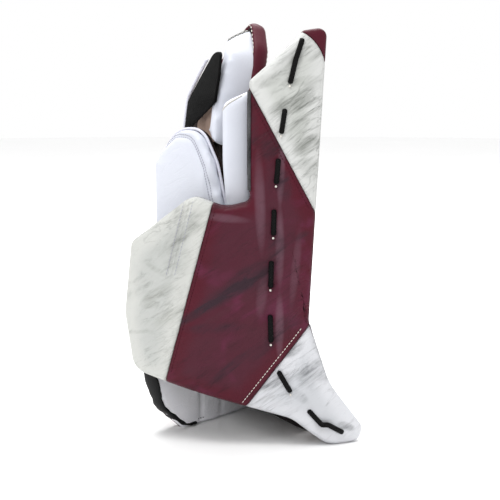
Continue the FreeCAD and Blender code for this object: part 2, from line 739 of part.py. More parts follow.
def wing_pieces():
    """Outer leather, padding, lining and edge binding of the far wing."""
    whole = prism(drawn_in(WING_OUTLINE, 0), NEAR_VIEW)
    edge_free = prism(drawn_in(WING_OUTLINE, WING_BINDING_WIDTH), NEAR_VIEW)
    foot = box_region(WING_BINDING_END, BIG, -BIG, BIG, NEAR_VIEW)
    field = edge_free.fuse(foot)
    depths = (0, LEATHER, LEATHER + WING_CORE, WING_TOTAL)
    names = ("far_wing_leather", "far_wing_core", "far_wing_lining")
    pieces = {}
    for name, front, back in zip(names, depths, depths[1:]):
        pieces[name] = wing_layer(front, back).common(whole).common(field)
    pieces["far_wing_binding"] = wing_layer(0, WING_TOTAL).common(whole).cut(field)
    return pieces


# ================================================================ wrist guard
def guard_frame():
    """Frame of the wrist guard: X along its chord, Y up, Z outwards."""
    along = Vector(*GUARD_DIRECTION, 0).normalize()
    return frame(Vector(*GUARD_CENTRE, 0), along, UP)


def guard_pieces():
    """Pad, lining and piping of the wrist guard, and the band that it is sewn to."""
    place = guard_frame()
    half = GUARD_THICKNESS / 2
    grow = GUARD_PIPING / 2
    outline = drawn_in(GUARD_OUTLINE, 0)
    pad = prism(outline, place, LINING - half, half)
    lining = prism(outline, place, -half, LINING - half)
    cord = prism(drawn_in(GUARD_OUTLINE, -grow), place, -grow, grow).cut(prism(outline, place))
    top = GUARD_LOW - grow - GUARD_GAP
    low = top - BACK_BAND_HEIGHT
    thick = BACK_BAND_THICKNESS / 2
    band = box_region(-GUARD_LEFT - GUARD_GAP, GUARD_RIGHT, low, top, place, -thick, thick)
    wing = wing_layer(0, WING_TOTAL)
    return {
        "wrist_guard_pad": pad,
        "wrist_guard_lining": lining,
        "wrist_guard_piping": cord,
        "wrist_back_band": band.cut(wing),
    }


def guard_room():
    """Room that the wrist guard needs, with its piping."""
    grow = GUARD_PIPING / 2 + GUARD_ROOM
    half = GUARD_THICKNESS / 2 + GUARD_ROOM
    return prism(drawn_in(GUARD_OUTLINE, -grow), guard_frame(), -half, half)


# ================================================================ wrist strap
def wing_point(knot):
    """Point of the far wing's outer face at the strap's height, on the rib of a knot."""
    share = STRAP_MIDDLE / WING_HEIGHT
    foot = Vector(*WING_FOOT[knot], 0)
    top = Vector(*WING_TOP[knot], WING_HEIGHT)
    return foot + (top - foot) * share


def strap_frame():
    """Frame on the far wing's outer face at the ring: X towards the palm, Y up the wall, Z inwards."""
    up = (Vector(*WING_TOP[RING_KNOT], WING_HEIGHT) - Vector(*WING_FOOT[RING_KNOT], 0)).normalize()
    along = (wing_point(RING_KNOT + 1) - wing_point(RING_KNOT - 1)).normalize()
    along = (along - up * along.dot(up)).normalize()
    return frame(wing_point(RING_KNOT), along, up)


def bar_height():
    """Distance of the ring's bars from the far wing's outer face."""
    return STRAP_THICKNESS + PATCH_THICKNESS + PATCH_GAP / 2


def strap_zone(start, end, inset, place):
    """Stretch of the strap's band between two distances from the ring."""
    half = STRAP_WIDTH / 2 - inset
    return box_region(start, end, -half, half, place)


def strap_fold(place):
    """Half turn of the strap round the ring's bar, with its lap on the sewn part."""
    height = bar_height()
    across = Vector(0, 1, 0)
    corner = Vector(RING_DEPTH / 2, -STRAP_WIDTH / 2, -height)
    bend = Part.makeCylinder(height, STRAP_WIDTH, corner, across)
    bend = bend.cut(Part.makeBox(BIG, STRAP_WIDTH, 4 * height, corner - UP * 2 * height))
    lap = Part.makeBox(FOLD_LAP, STRAP_WIDTH, STRAP_THICKNESS + 1, corner + UP * (height - STRAP_THICKNESS))
    turn = Part.makeBox(FOLD_TURN, STRAP_WIDTH, STRAP_THICKNESS, corner - UP * height)
    hollow = Part.makeCylinder(height - STRAP_THICKNESS, STRAP_WIDTH, corner, across)
    return placed(bend.fuse(lap).fuse(turn).cut(hollow), place)


def strap_ring():
    """Rectangular wire ring round the two bars, in the strap's frame."""
    bar = RING_DEPTH / 2
    tall = STRAP_WIDTH / 2 + RING_WIRE / 2 + RING_PLAY
    corners = [(-bar, -tall), (bar, -tall), (bar, tall), (-bar, tall)]
    path = rounded([(x, y, RING_CORNER) for x, y in corners])
    first = path.Edges[0]
    start = first.valueAt(first.FirstParameter)
    section = Part.makeCircle(RING_WIRE / 2, start, first.tangentAt(first.FirstParameter))
    ring = path.makePipeShell([Part.Wire(section)], True, False)
    ring.translate(UP * -bar_height())
    return ring


def ring_tab():
    """Loop of leather that holds the ring's far bar to the wing, in the strap's frame."""
    height = bar_height()
    reach = height - STRAP_THICKNESS
    corner = Vector(-(RING_DEPTH + RING_TAB) / 2, -STRAP_WIDTH / 2, -height - reach)
    tab = Part.makeBox(RING_TAB, STRAP_WIDTH, height + reach + RING_WIRE, corner)
    bar = Vector(-RING_DEPTH / 2, -STRAP_WIDTH / 2, -height)
    return tab.cut(Part.makeCylinder(RING_WIRE / 2 + PATCH_GAP, STRAP_WIDTH, bar, Vector(0, 1, 0)))


def strap_pieces():
    """Strap sewn to the far wing, its fold and free tail, the two patches, the ring and its tab."""
    place = strap_frame()
    bar = RING_DEPTH / 2
    wall = wing_layer(0, WING_TOTAL)
    loop_out = STRAP_THICKNESS + PATCH_THICKNESS
    hook_in = loop_out + PATCH_GAP
    hook_out = hook_in + PATCH_THICKNESS
    tail_out = hook_out + STRAP_THICKNESS
    sewn = wing_layer(-STRAP_THICKNESS, 0).common(strap_zone(bar + FOLD_GAP, STRAP_SEWN, 0, place))
    loop_zone = strap_zone(bar + LOOP_START, LOOP_END, LOOP_INSET, place)
    hook_zone = strap_zone(bar + HOOK_START, HOOK_END, HOOK_INSET, place)
    tail_zone = strap_zone(bar + TAIL_START, STRAP_TAIL, 0, place)
    return {
        "wrist_strap": sewn.fuse(strap_fold(place).cut(wall)).removeSplitter(),
        "strap_loop_patch": wing_layer(-loop_out, -STRAP_THICKNESS).common(loop_zone),
        "strap_hook_patch": wing_layer(-hook_out, -hook_in).common(hook_zone),
        "strap_tail": wing_layer(-tail_out, -hook_out).common(tail_zone),
        "strap_ring": placed(strap_ring(), place),
        "ring_tab": placed(ring_tab(), place).cut(wall),
    }


# ================================================================ pocket
def index_edge_u(z):
    """U of the palm wall's edge beside the pocket, at a height."""
    for (u_low, z_low), (u_high, z_high) in zip(POCKET_EDGE, POCKET_EDGE[1:]):
        if z <= z_high:
            return u_low + (u_high - u_low) * (z - z_low) / (z_high - z_low)
    return POCKET_EDGE[-1][0]


def pocket_ends(z):
    """Where the pocket's web meets the thumb and the index finger at a height."""
    thumb = near_point(lace_x(z) + LACE_DIAMETER, z, NEAR_TOTAL + CLEARANCE)
    index = palm_point(index_edge_u(z) - CLEARANCE, z, PALM_TOTAL / 2)
    index.z = z
    return thumb, index


def pocket_wire(z, start, end, front, back):
    """Closed wire across the pocket's arc between two shares of its width, at one height."""
    thumb, index = pocket_ends(z)
    chord = index - thumb
    ahead = Vector(chord.y, -chord.x, 0).normalize()
    rise = (z - WEB_MIDDLE) / (THUMB_HEIGHT - WEB_LOW)
    bulge = WEB_BULGE * (1 - 2 * rise * rise)
    radius = (chord.Length ** 2 / 4 + bulge * bulge) / (2 * bulge)
    centre = (thumb + index) * 0.5 + ahead * (bulge - radius)
    spread = 2 * math.asin(chord.Length / (2 * radius))

    def point(share, offset):
        turn = spread * (share - 0.5)
        direction = ahead * math.cos(turn) + Vector(chord).normalize() * math.sin(turn)
        return centre + direction * (radius + offset)

    middle = (start + end) / 2
    edges = [
        Part.Arc(point(start, front), point(middle, front), point(end, front)).toShape(),
        Part.makeLine(point(end, front), point(end, back)),
        Part.Arc(point(end, back), point(middle, back), point(start, back)).toShape(),
        Part.makeLine(point(start, back), point(start, front)),
    ]
    return Part.Wire(edges)


def pocket_slab(start, end, front, back):
    """Curved slab across the pocket between two shares of its width."""
    top = min(THUMB_HEIGHT, FINGER_HEIGHT) - WEB_DROP_THUMB
    step = (top - WEB_LOW) / WEB_STEPS
    heights = [WEB_LOW + i * step for i in range(WEB_STEPS + 1)]
    wires = [pocket_wire(z, start, end, front, back) for z in heights]
    return Part.makeLoft(wires, True, False)


def pocket_pieces(lace, palm_wall):
    """Net, stem and bar between the thumb and the index finger."""
    thumb, index = pocket_ends(WEB_MIDDLE)
    across = index - thumb
    width = across.Length
    place = frame(thumb - UP * thumb.z, across.normalize(), UP)
    high = THUMB_HEIGHT - WEB_DROP_THUMB
    low = FINGER_HEIGHT - WEB_DROP_INDEX
    slope = (low - high) / width
    reach = width
    bar_top = [
        (-reach, -BIG, 0),
        (width + reach, -BIG, 0),
        (width + reach, low + slope * reach, 0),
        (-reach, high - slope * reach, 0),
    ]
    bar_low = [(s, z if z < 0 else z - T_BAR_HEIGHT, 0) for s, z, r in bar_top]
    under_top = prism(bar_top, place)
    under_bar = prism(bar_low, place)
    half = T_STEM_SHARE / 2
    front = T_THICKNESS / 2
    net = WEB_THICKNESS / 2
    pieces = {
        "pocket_bar": pocket_slab(0, 1, front, -front).common(under_top).cut(under_bar),
        "pocket_stem": pocket_slab(0.5 - half, 0.5 + half, front, -front).common(under_bar),
        "net_thumb_side": pocket_slab(0, 0.5 - half, net, -net).common(under_bar),
        "net_index_side": pocket_slab(0.5 + half, 1, net, -net).common(under_bar),
    }
    near = near_side(NEAR_TOTAL + CLEARANCE)
    return {name: shape.cut(near).cut(lace).cut(palm_wall) for name, shape in pieces.items()}


# ================================================================ the whole glove
def build():
    """Every piece of the glove by name, in the working frame."""
    lace = tube(lace_route(), LACE_DIAMETER, LACE_BEND)
    pieces = near_pieces(lace)
    pieces["perimeter_lace"] = lace
    pieces["thumb_back_roll"] = thumb_roll()
    pieces["thumb_stall"] = thumb_stall()
    pieces.update(palm_pieces())
    pieces["break_web"] = break_web(lace)
    pieces["heel_gusset"] = pieces["heel_gusset"].cut(lace)
    pieces.update(back_pieces())
    pieces.update(wing_pieces())
    pieces.update(guard_pieces())
    room = guard_room()
    for name in ("backhand_panel", "backhand_piping", "index_side_pad", "thumb_back_roll"):
        pieces[name] = pieces[name].cut(room)
    pieces.update(strap_pieces())
    palm_wall = palm_layer(-CLEARANCE, PALM_TOTAL).common(prism(drawn_in(PALM_OUTLINE, 0), PALM_VIEW))
    pieces.update(pocket_pieces(lace, palm_wall))
    return pieces


def report_point(name, point, shift):
    """Print a point of a joint or an opening in metres, in the shifted frame."""
    moved = (point + shift) * 0.001
    print(f"{name}: {moved.x:.4f} {moved.y:.4f} {moved.z:.4f}")


def main():
    """Build the pieces, shift them to the origin, write one file each and print the joints' places."""
    pieces = build()
    bounds = Part.makeCompound(list(pieces.values())).optimalBoundingBox()
    shift = Vector(-bounds.Center.x, -bounds.Center.y, -bounds.ZMin)
    os.makedirs("parts", exist_ok=True)
    for name, shape in pieces.items():
        shape.translate(shift)
        shape.exportStep(os.path.join("parts", name + ".step"))
    print(f"size: {bounds.XLength:.1f} {bounds.YLength:.1f} {bounds.ZLength:.1f}")
    print(f"shift: {shift.x:.2f} {shift.y:.2f} {shift.z:.2f}")
    guard = guard_frame()
    report_point("closing hinge", hinge_point(), shift)
    report_point("guard hinge", guard.multVec(Vector(0, GUARD_LOW, -GUARD_THICKNESS / 2)), shift)
    print("guard axis:", guard.Rotation.multVec(Vector(1, 0, 0)))
    strap = strap_frame()
    report_point("tail hinge", strap.multVec(Vector(RING_DEPTH / 2, 0, -bar_height())), shift)
    print("tail axis:", strap.Rotation.multVec(Vector(0, 1, 0)))


main()
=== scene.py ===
"""Goalie catch glove, dressed round its CAD frame.

Sizes are in millimetres in the glove's working frame, as a pattern cutter would write them: X towards the
thumb's free edge, Y from the thumb wall towards the little finger, Z up from the cuff. `Shop.metres` moves
a point into the frame's metres. Every wall of the glove is a `Surface`: flat panels are cut, ringed and
padded in its S and Z coordinates and are then laid on it at a depth under its outer face.
"""

import logging
import math
from contextlib import contextmanager
from dataclasses import dataclass, field
from enum import Enum
from typing import Callable, Iterable, Iterator, Optional, Sequence, Union

import bmesh
import bpy
import numpy as np
from mathutils import Matrix, Vector, noise
from mathutils.bvhtree import BVHTree


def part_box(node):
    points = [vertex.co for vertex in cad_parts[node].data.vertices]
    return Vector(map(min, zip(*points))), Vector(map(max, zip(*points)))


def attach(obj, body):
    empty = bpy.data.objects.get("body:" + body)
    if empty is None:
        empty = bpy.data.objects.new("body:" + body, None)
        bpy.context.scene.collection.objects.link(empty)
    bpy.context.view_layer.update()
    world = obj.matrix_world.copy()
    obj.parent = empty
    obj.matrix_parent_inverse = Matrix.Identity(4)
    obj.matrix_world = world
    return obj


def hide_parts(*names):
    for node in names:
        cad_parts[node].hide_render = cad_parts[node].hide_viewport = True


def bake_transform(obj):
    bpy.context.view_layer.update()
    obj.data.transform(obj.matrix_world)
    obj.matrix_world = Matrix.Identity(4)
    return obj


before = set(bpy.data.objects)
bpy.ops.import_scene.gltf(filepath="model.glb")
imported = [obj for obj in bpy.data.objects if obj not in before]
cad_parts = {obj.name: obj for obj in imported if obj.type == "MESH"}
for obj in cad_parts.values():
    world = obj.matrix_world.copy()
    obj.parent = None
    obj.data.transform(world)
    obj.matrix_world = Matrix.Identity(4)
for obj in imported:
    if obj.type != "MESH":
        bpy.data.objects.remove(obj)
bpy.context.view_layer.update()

LOG = logging.getLogger("glove")
MM = 0.001
FAR_FROM_EDGE = 12.0  # what the "edge" attribute says, in millimetres, where a piece has no cut edge
WELD = 1e-6  # points nearer than this, in metres, are one

Point = tuple[float, float]
Corner = tuple[float, float, float]


# ---------------------------------------------------------------------------------------------- shop
class Shop:
    """Where the working frame lies in the CAD frame."""

    STALL_CORNER = Vector((2.0, 6.0, 262.0))
    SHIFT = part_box("thumb_stall")[0] / MM - STALL_CORNER

    @classmethod
    def metres(cls, point: Vector) -> Vector:
        """Point of the working frame, in the CAD frame's metres.

        Args:
            point: Place in millimetres.

        Returns:
            The same place in metres.
        """
        return (Vector(point) + cls.SHIFT) * MM


class Body(str, Enum):
    """The bodies that the glove's pieces ride on."""

    PALM = "palm"
    THUMB = "thumb_cuff"
    GUARD = "wrist_guard"
    TAIL = "strap_tail_end"


# ---------------------------------------------------------------------------------------------- shader maths
Value = Union["Ink", float, int, tuple]


class Ink:
    """Output of a shader node that Python's operators work on."""

    def __init__(self, dye: "Dye", socket: bpy.types.NodeSocket) -> None:
        """Wrap a socket.

        Args:
            dye: Material that the socket belongs to.
            socket: The node's output.
        """
        self.dye = dye
        self.socket = socket

    def _math(self, operation: str, first: Value, second: Value = 0.0, clamp: bool = False) -> "Ink":
        """Math node of two values.

        Args:
            operation: Name of the Math operation.
            first: First value.
            second: Second value.
            clamp: Whether the result stays between 0 and 1.

        Returns:
            The node's result.
        """
        settings = {"operation": operation, "use_clamp": clamp}
        return self.dye.node("ShaderNodeMath", settings, {0: first, 1: second})

    def __add__(self, other: Value) -> "Ink":
        """Sum."""
        return self._math("ADD", self, other)

    def __radd__(self, other: Value) -> "Ink":
        """Sum with a number on the left."""
        return self._math("ADD", other, self)

    def __sub__(self, other: Value) -> "Ink":
        """Difference."""
        return self._math("SUBTRACT", self, other)

    def __rsub__(self, other: Value) -> "Ink":
        """Difference from a number."""
        return self._math("SUBTRACT", other, self)

    def __mul__(self, other: Value) -> "Ink":
        """Product."""
        return self._math("MULTIPLY", self, other)

    def __rmul__(self, other: Value) -> "Ink":
        """Product with a number on the left."""
        return self._math("MULTIPLY", other, self)

    def __truediv__(self, other: Value) -> "Ink":
        """Quotient."""
        return self._math("DIVIDE", self, other)

    def __pow__(self, other: Value) -> "Ink":
        """Power."""
        return self._math("POWER", self, other)

    def abs(self) -> "Ink":
        """Distance from zero."""
        return self._math("ABSOLUTE", self)

    def sine(self) -> "Ink":
        """Sine of an angle in radians."""
        return self._math("SINE", self)

    def largest(self, other: Value) -> "Ink":
        """Larger of two values."""
        return self._math("MAXIMUM", self, other)

    def held(self) -> "Ink":
        """Value kept between 0 and 1."""
        return self._math("ADD", self, 0.0, clamp=True)

    def ramp(self, low: float, high: float) -> "Ink":
        """Smooth step from 0 at low to 1 at high; high may be the smaller one.

        Args:
            low: Value that gives 0.
            high: Value that gives 1.

        Returns:
            The step.
        """
        settings = {"interpolation_type": "SMOOTHSTEP"}
        return self.dye.node("ShaderNodeMapRange", settings, {0: self, 1: low, 2: high, 3: 0.0, 4: 1.0})


class Dye:
    """One material's node tree."""

    def __init__(self, name: str) -> None:
        """Start an empty material.

        Args:
            name: The material's name.
        """
        self.material = bpy.data.materials.new(name)
        self.material.use_nodes = True
        self.tree = self.material.node_tree
        self.tree.nodes.clear()
        self.place = self.node("ShaderNodeTexCoord", {}, {}, "Object")

    def node(self, kind: str, settings: dict, inputs: dict, output: Union[int, str] = 0) -> Ink:
        """Add a node.

        Args:
            kind: Type of the node.
            settings: Properties, set before the sockets.
            inputs: Value or link of each socket, by name or number.
            output: Name or number of the wanted output.

        Returns:
            The wanted output.
        """
        node = self.tree.nodes.new(kind)
        for key, value in settings.items():
            setattr(node, key, value)
        for key, value in inputs.items():
            if isinstance(value, Ink):
                self.tree.links.new(value.socket, node.inputs[key])
            else:
                node.inputs[key].default_value = value
        return Ink(self, node.outputs[output])

    def mapped(self, turn: tuple, scale: tuple, shift: tuple = (0.0, 0.0, 0.0)) -> Ink:
        """Object coordinates, turned and then stretched.

        Args:
            turn: Angles about X, Y and Z in degrees.
            scale: Factors along the turned axes.
            shift: Offset of the pattern.

        Returns:
            The coordinates.
        """
        angles = tuple(math.radians(a) for a in turn)
        turned = self.node("ShaderNodeMapping", {}, {0: self.place, 1: shift, 2: angles})
        return self.node("ShaderNodeMapping", {}, {0: turned, 3: scale})

    def noise(self, where: Ink, scale: float, detail: float = 4.0, rough: float = 0.55, bend: float = 0.0) -> Ink:
        """Fractal noise from 0 to 1.

        Args:
            where: Coordinates.
            scale: Cells per metre.
            detail: Octaves.
            rough: Weight of the fine octaves.
            bend: Distortion.

        Returns:
            The noise.
        """
        return self.node("ShaderNodeTexNoise", {}, {0: where, 2: scale, 3: detail, 4: rough, 8: bend})

    def cells(self, where: Ink, scale: float, feature: str = "F1") -> Ink:
        """Distance in a Voronoi pattern.

        Args:
            where: Coordinates.
            scale: Cells per metre.
            feature: Which distance.

        Returns:
            The distance.
        """
        return self.node("ShaderNodeTexVoronoi", {"feature": feature}, {0: where, 2: scale}, "Distance")

    def creases(self, where: Ink, scale: float, width: float, detail: float = 3.0) -> Ink:
        """Thin winding lines: 1 in a crease and 0 beside it.

        Args:
            where: Coordinates.
            scale: Size of the pattern.
            width: Half width of a crease, in the noise's own range.
            detail: Octaves.

        Returns:
            The mask.
        """
        level = self.noise(where, scale, detail, 0.5, 0.6)
        return (level - 0.5).abs().ramp(width, 0.0)

    def mix(self, first: Value, second: Value, share: Value) -> Ink:
        """Colour between two colours.

        Args:
            first: Colour at share 0.
            second: Colour at share 1.
            share: Share of the second.

        Returns:
            The colour.
        """
        settings = {"data_type": "RGBA"}
        return self.node("ShaderNodeMix", settings, {0: share, 6: first, 7: second}, 2)

    def attribute(self, name: str) -> Ink:
        """Number kept on the mesh's points.

        Args:
            name: The attribute's name.

        Returns:
            Its value.
        """
        return self.node("ShaderNodeAttribute", {"attribute_name": name}, {}, "Fac")

    def axis(self, where: Ink, index: int) -> Ink:
        """One coordinate of a vector.

        Args:
            where: The vector.
            index: 0, 1 or 2.

        Returns:
            The coordinate.
        """
        return self.node("ShaderNodeSeparateXYZ", {}, {0: where}, index)

    def finish(self, constants: dict, base: Value, rough: Value, height: Value, depth: float) -> bpy.types.Material:
        """Join the parts of a material into a Principled shader.

        Args:
            constants: Shader sockets that are the same all over.
            base: Colour.
            rough: Roughness.
            height: Relief for the bump.
            depth: The relief's height in metres.

        Returns:
            The material.
        """
        bump = self.node("ShaderNodeBump", {}, {"Strength": 1.0, "Distance": depth, "Height": height})
        inputs = dict(constants)
        inputs.update({"Base Color": base, "Roughness": rough, "Normal": bump})
        shader = self.node("ShaderNodeBsdfPrincipled", {}, inputs)
        end = self.tree.nodes.new("ShaderNodeOutputMaterial")
        self.tree.links.new(shader.socket, end.inputs["Surface"])
        return self.material


def colour(code: str) -> tuple:
    """Linear colour of a web colour code.

    Args:
        code: Six hexadecimal digits.

    Returns:
        Red, green, blue and 1.
    """
    parts = [int(code[i:i + 2], 16) / 255 for i in (0, 2, 4)]
    linear = [c / 12.92 if c <= 0.04045 else ((c + 0.055) / 1.055) ** 2.4 for c in parts]
    return (*linear, 1.0)


# ---------------------------------------------------------------------------------------------- finishes
@dataclass(frozen=True)
class SmudgeOrHighlight:
    """Soft patch on a wall, seen from the thumb side; dirt smudges and painted highlight bands both use it."""

    x: float
    z: float
    length: float
    width: float
    angle: float
    strength: float


@dataclass(frozen=True)
class Leather:
    """Synthetic leather that was rubbed by pucks, ice and posts; some finishes also carry painted highlight bands in
    their colour.
    """

    name: str
    main: str
    second: str
    dirt: str
    scuff: float = 0.5
    smudges: tuple = ()
    gloss: float = 0.42
    grain: float = 620.0
    relief: float = 0.00035
    tilt: float = 35.0
    seed: float = 0.0
    edge_dirt: float = 0.35
    haze: str = ""
    shine: float = 0.35
    # painted highlight: patches where the colour is lightened to stand for light on the puffy leather, and that
    # lighter colour
    painted_highlights: tuple = ()
    painted_highlight_colour: str = ""
    patch: str = ""

    def mask(self, dye: Dye, patches: tuple) -> Ink:
        """Sum of soft patches.

        Args:
            dye: Material in the making.
            patches: The patches.

        Returns:
            The mask.
        """
        total: Value = 0.0
        for patch in patches:
            centre = Shop.metres(Vector((patch.x, 0.0, patch.z)))
            turn = math.radians(patch.angle)
            shift = (-centre.x, 0.0, -centre.z)
            moved = dye.node("ShaderNodeMapping", {}, {0: dye.place, 1: shift})
            turned = dye.node("ShaderNodeMapping", {}, {0: moved, 2: (0.0, turn, 0.0)})
            along = dye.axis(turned, 0) * (1.0 / (patch.length * MM * 0.5))
            across = dye.axis(turned, 2) * (1.0 / (patch.width * MM * 0.5))
            spot = (along * along + across * across).ramp(1.6, 0.0)
            total = spot * patch.strength + total
        return total

    def make(self) -> bpy.types.Material:
        """Build the material.

        Returns:
            The material.
        """
        dye = Dye(self.name)
        shift = (self.seed, self.seed * 0.7, self.seed * 1.3)
        plain = dye.mapped((0, 0, 0), (1, 1, 1), shift)
        streak = dye.mapped((0, self.tilt, 0), (0.32, 1.0, 1.9), shift)
        fine_streak = dye.mapped((0, self.tilt + 6, 0), (0.22, 1.0, 3.4), shift)
        clouds = dye.noise(plain, 22, 5, 0.6, 0.3)
        bands = dye.noise(streak, 46, 8, 0.68, 0.5)
        lines = dye.noise(fine_streak, 120, 6, 0.7, 0.3)
        patches = dye.noise(plain, 13, 3, 0.5, 0.2).ramp(0.42, 0.62)
        marks = self.mask(dye, self.smudges)
        mottle = dye.noise(streak, 95, 7, 0.72, 0.9)
        rubbed = (bands.ramp(0.48, 0.74) * 0.7 + lines.ramp(0.54, 0.76) * 0.5) * patches * self.scuff
        grime = mottle.ramp(0.50, 0.72) * dye.noise(plain, 30, 4, 0.6).ramp(0.40, 0.60) * self.scuff * 0.55
        broken = (bands.ramp(0.30, 0.70) * 0.55 + mottle.ramp(0.35, 0.68) * 0.55 + lines.ramp(0.45, 0.7) * 0.25).held()
        smeared = broken * marks if self.smudges else rubbed * 0.0
        creases = dye.creases(streak, 34, 0.016, 4.0) * patches
        edge = dye.attribute("edge").ramp(3.5, 0.3) * self.edge_dirt
        dirty = (rubbed + grime + creases * 0.30 * self.scuff + edge * clouds).held()
        middle = dye.attribute("edge").ramp(2.0, 26.0)
        cloth = dye.mix(colour(self.main), colour(self.second), (clouds * 0.7 + middle * 0.45).ramp(0.35, 0.8))
        if self.patch:
            blots = dye.noise(plain, 17, 3, 0.55, 0.8).ramp(0.50, 0.64) * dye.noise(streak, 30, 5, 0.6).ramp(0.35, 0.6)
            cloth = dye.mix(cloth, colour(self.patch), blots * 0.8)
        # painted highlight: lighter bands mixed into the leather's colour
        if self.painted_highlights:
            cloth = dye.mix(cloth, colour(self.painted_highlight_colour), (self.mask(dye, self.painted_highlights) * clouds * 1.5).held())
        hazy = dye.mix(cloth, colour(self.haze or self.dirt), smeared.held())
        base = dye.mix(hazy, colour(self.dirt), dirty)
        dirty = (dirty + smeared).held()
        grain = dye.cells(plain, self.grain, "F1")
        pores = dye.noise(plain, self.grain * 1.7, 2, 0.5)
        folds = dye.creases(streak, 30, 0.05, 3.0) * patches
        height = grain * 0.35 + pores * 0.2 - folds * 0.75 - creases * 0.4 + clouds * 0.5
        rough = clouds * 0.16 + self.gloss + dirty * 0.18
        constants = {"Specular IOR Level": self.shine}
        return dye.finish(constants, base, rough, height, self.relief)


@dataclass(frozen=True)
class Fabric:
    """Brushed, knitted or braided cloth."""

    name: str
    main: str
    second: str
    scale: float = 420.0
    relief: float = 0.0006
    sheen: float = 0.04
    rough: float = 0.9
    stretch: tuple = (1.0, 1.0, 1.0)

    def make(self) -> bpy.types.Material:
        """Build the material.

        Returns:
            The material.
        """
        dye = Dye(self.name)
        where = dye.mapped((0, 0, 0), self.stretch)
        tufts = dye.noise(where, self.scale, 5, 0.7, 0.8)
        cloud = dye.noise(where, 38, 4, 0.6)
        knit = dye.cells(where, self.scale * 1.4, "SMOOTH_F1")
        shade = (tufts * 0.7 + cloud * 0.6 - 0.15).ramp(0.25, 0.75)
        base = dye.mix(colour(self.main), colour(self.second), shade)
        height = tufts + knit * 0.6
        rough = tufts * 0.08 + self.rough - 0.04
        constants = {"Sheen Weight": self.sheen, "Sheen Roughness": 0.5, "Specular IOR Level": 0.1}
        return dye.finish(constants, base, rough, height, self.relief)


@dataclass(frozen=True)
class Weave:
    """Strap or mesh with a visible grid of yarns."""

    name: str
    main: str
    second: str
    pitch: float = 1.1
    turn: tuple = (0.0, 0.0, 0.0)
    rough: float = 0.72
    relief: float = 0.0005

    def make(self) -> bpy.types.Material:
        """Build the material.

        Returns:
            The material.
        """
        dye = Dye(self.name)
        where = dye.mapped(self.turn, (1, 1, 1))
        turns = 2 * math.pi / (self.pitch * MM)
        warp = (dye.axis(where, 0) * turns).sine()
        weft = (dye.axis(where, 2) * turns).sine()
        depth = (dye.axis(where, 1) * turns).sine()
        yarns = (warp * weft + weft * depth + warp * depth).ramp(-1.0, 1.2)
        wear = dye.noise(where, 60, 5, 0.6)
        base = dye.mix(colour(self.main), colour(self.second), yarns * wear)
        rough = wear * 0.15 + self.rough - 0.07
        return dye.finish({"Specular IOR Level": 0.1}, base, rough, yarns + wear * 0.3, self.relief)


@dataclass(frozen=True)
class Braid:
    """Round cord or lace with braided strands that run along its own UV map."""

    name: str
    main: str
    second: str
    pitch: float = 2.6
    rough: float = 0.6
    relief: float = 0.0004

    def make(self) -> bpy.types.Material:
        """Build the material.

        Returns:
            The material.
        """
        dye = Dye(self.name)
        where = dye.node("ShaderNodeUVMap", {"uv_map": "cord"}, {})
        along = dye.axis(where, 0) * (2 * math.pi / self.pitch)
        round_it = dye.axis(where, 1) * (2 * math.pi * 4)
        right = (along + round_it).sine()
        left = (along - round_it).sine()
        strands = right.largest(left).ramp(-0.4, 1.0)
        fuzz = dye.noise(dye.place, 700, 3, 0.6)
        base = dye.mix(colour(self.main), colour(self.second), strands * fuzz)
        rough = fuzz * 0.2 + self.rough - 0.1
        return dye.finish({"Specular IOR Level": 0.12}, base, rough, strands + fuzz * 0.4, self.relief)


@dataclass(frozen=True)
class Moulded:
    """Glossy moulded plastic with fine scratches."""

    name: str
    main: str

    def make(self) -> bpy.types.Material:
        """Build the material.

        Returns:
            The material.
        """
        dye = Dye(self.name)
        where = dye.mapped((20, 35, 10), (0.2, 1, 2.5))
        scratches = dye.creases(where, 260, 0.03, 2.0)
        cloud = dye.noise(dye.place, 90, 4)
        base = dye.mix(colour(self.main), colour("3a3a3c"), scratches * 0.4 + cloud * 0.1)
        return dye.finish({}, base, cloud * 0.15 + 0.28 + scratches * 0.2, scratches * -1.0 + cloud * 0.3, 0.0001)


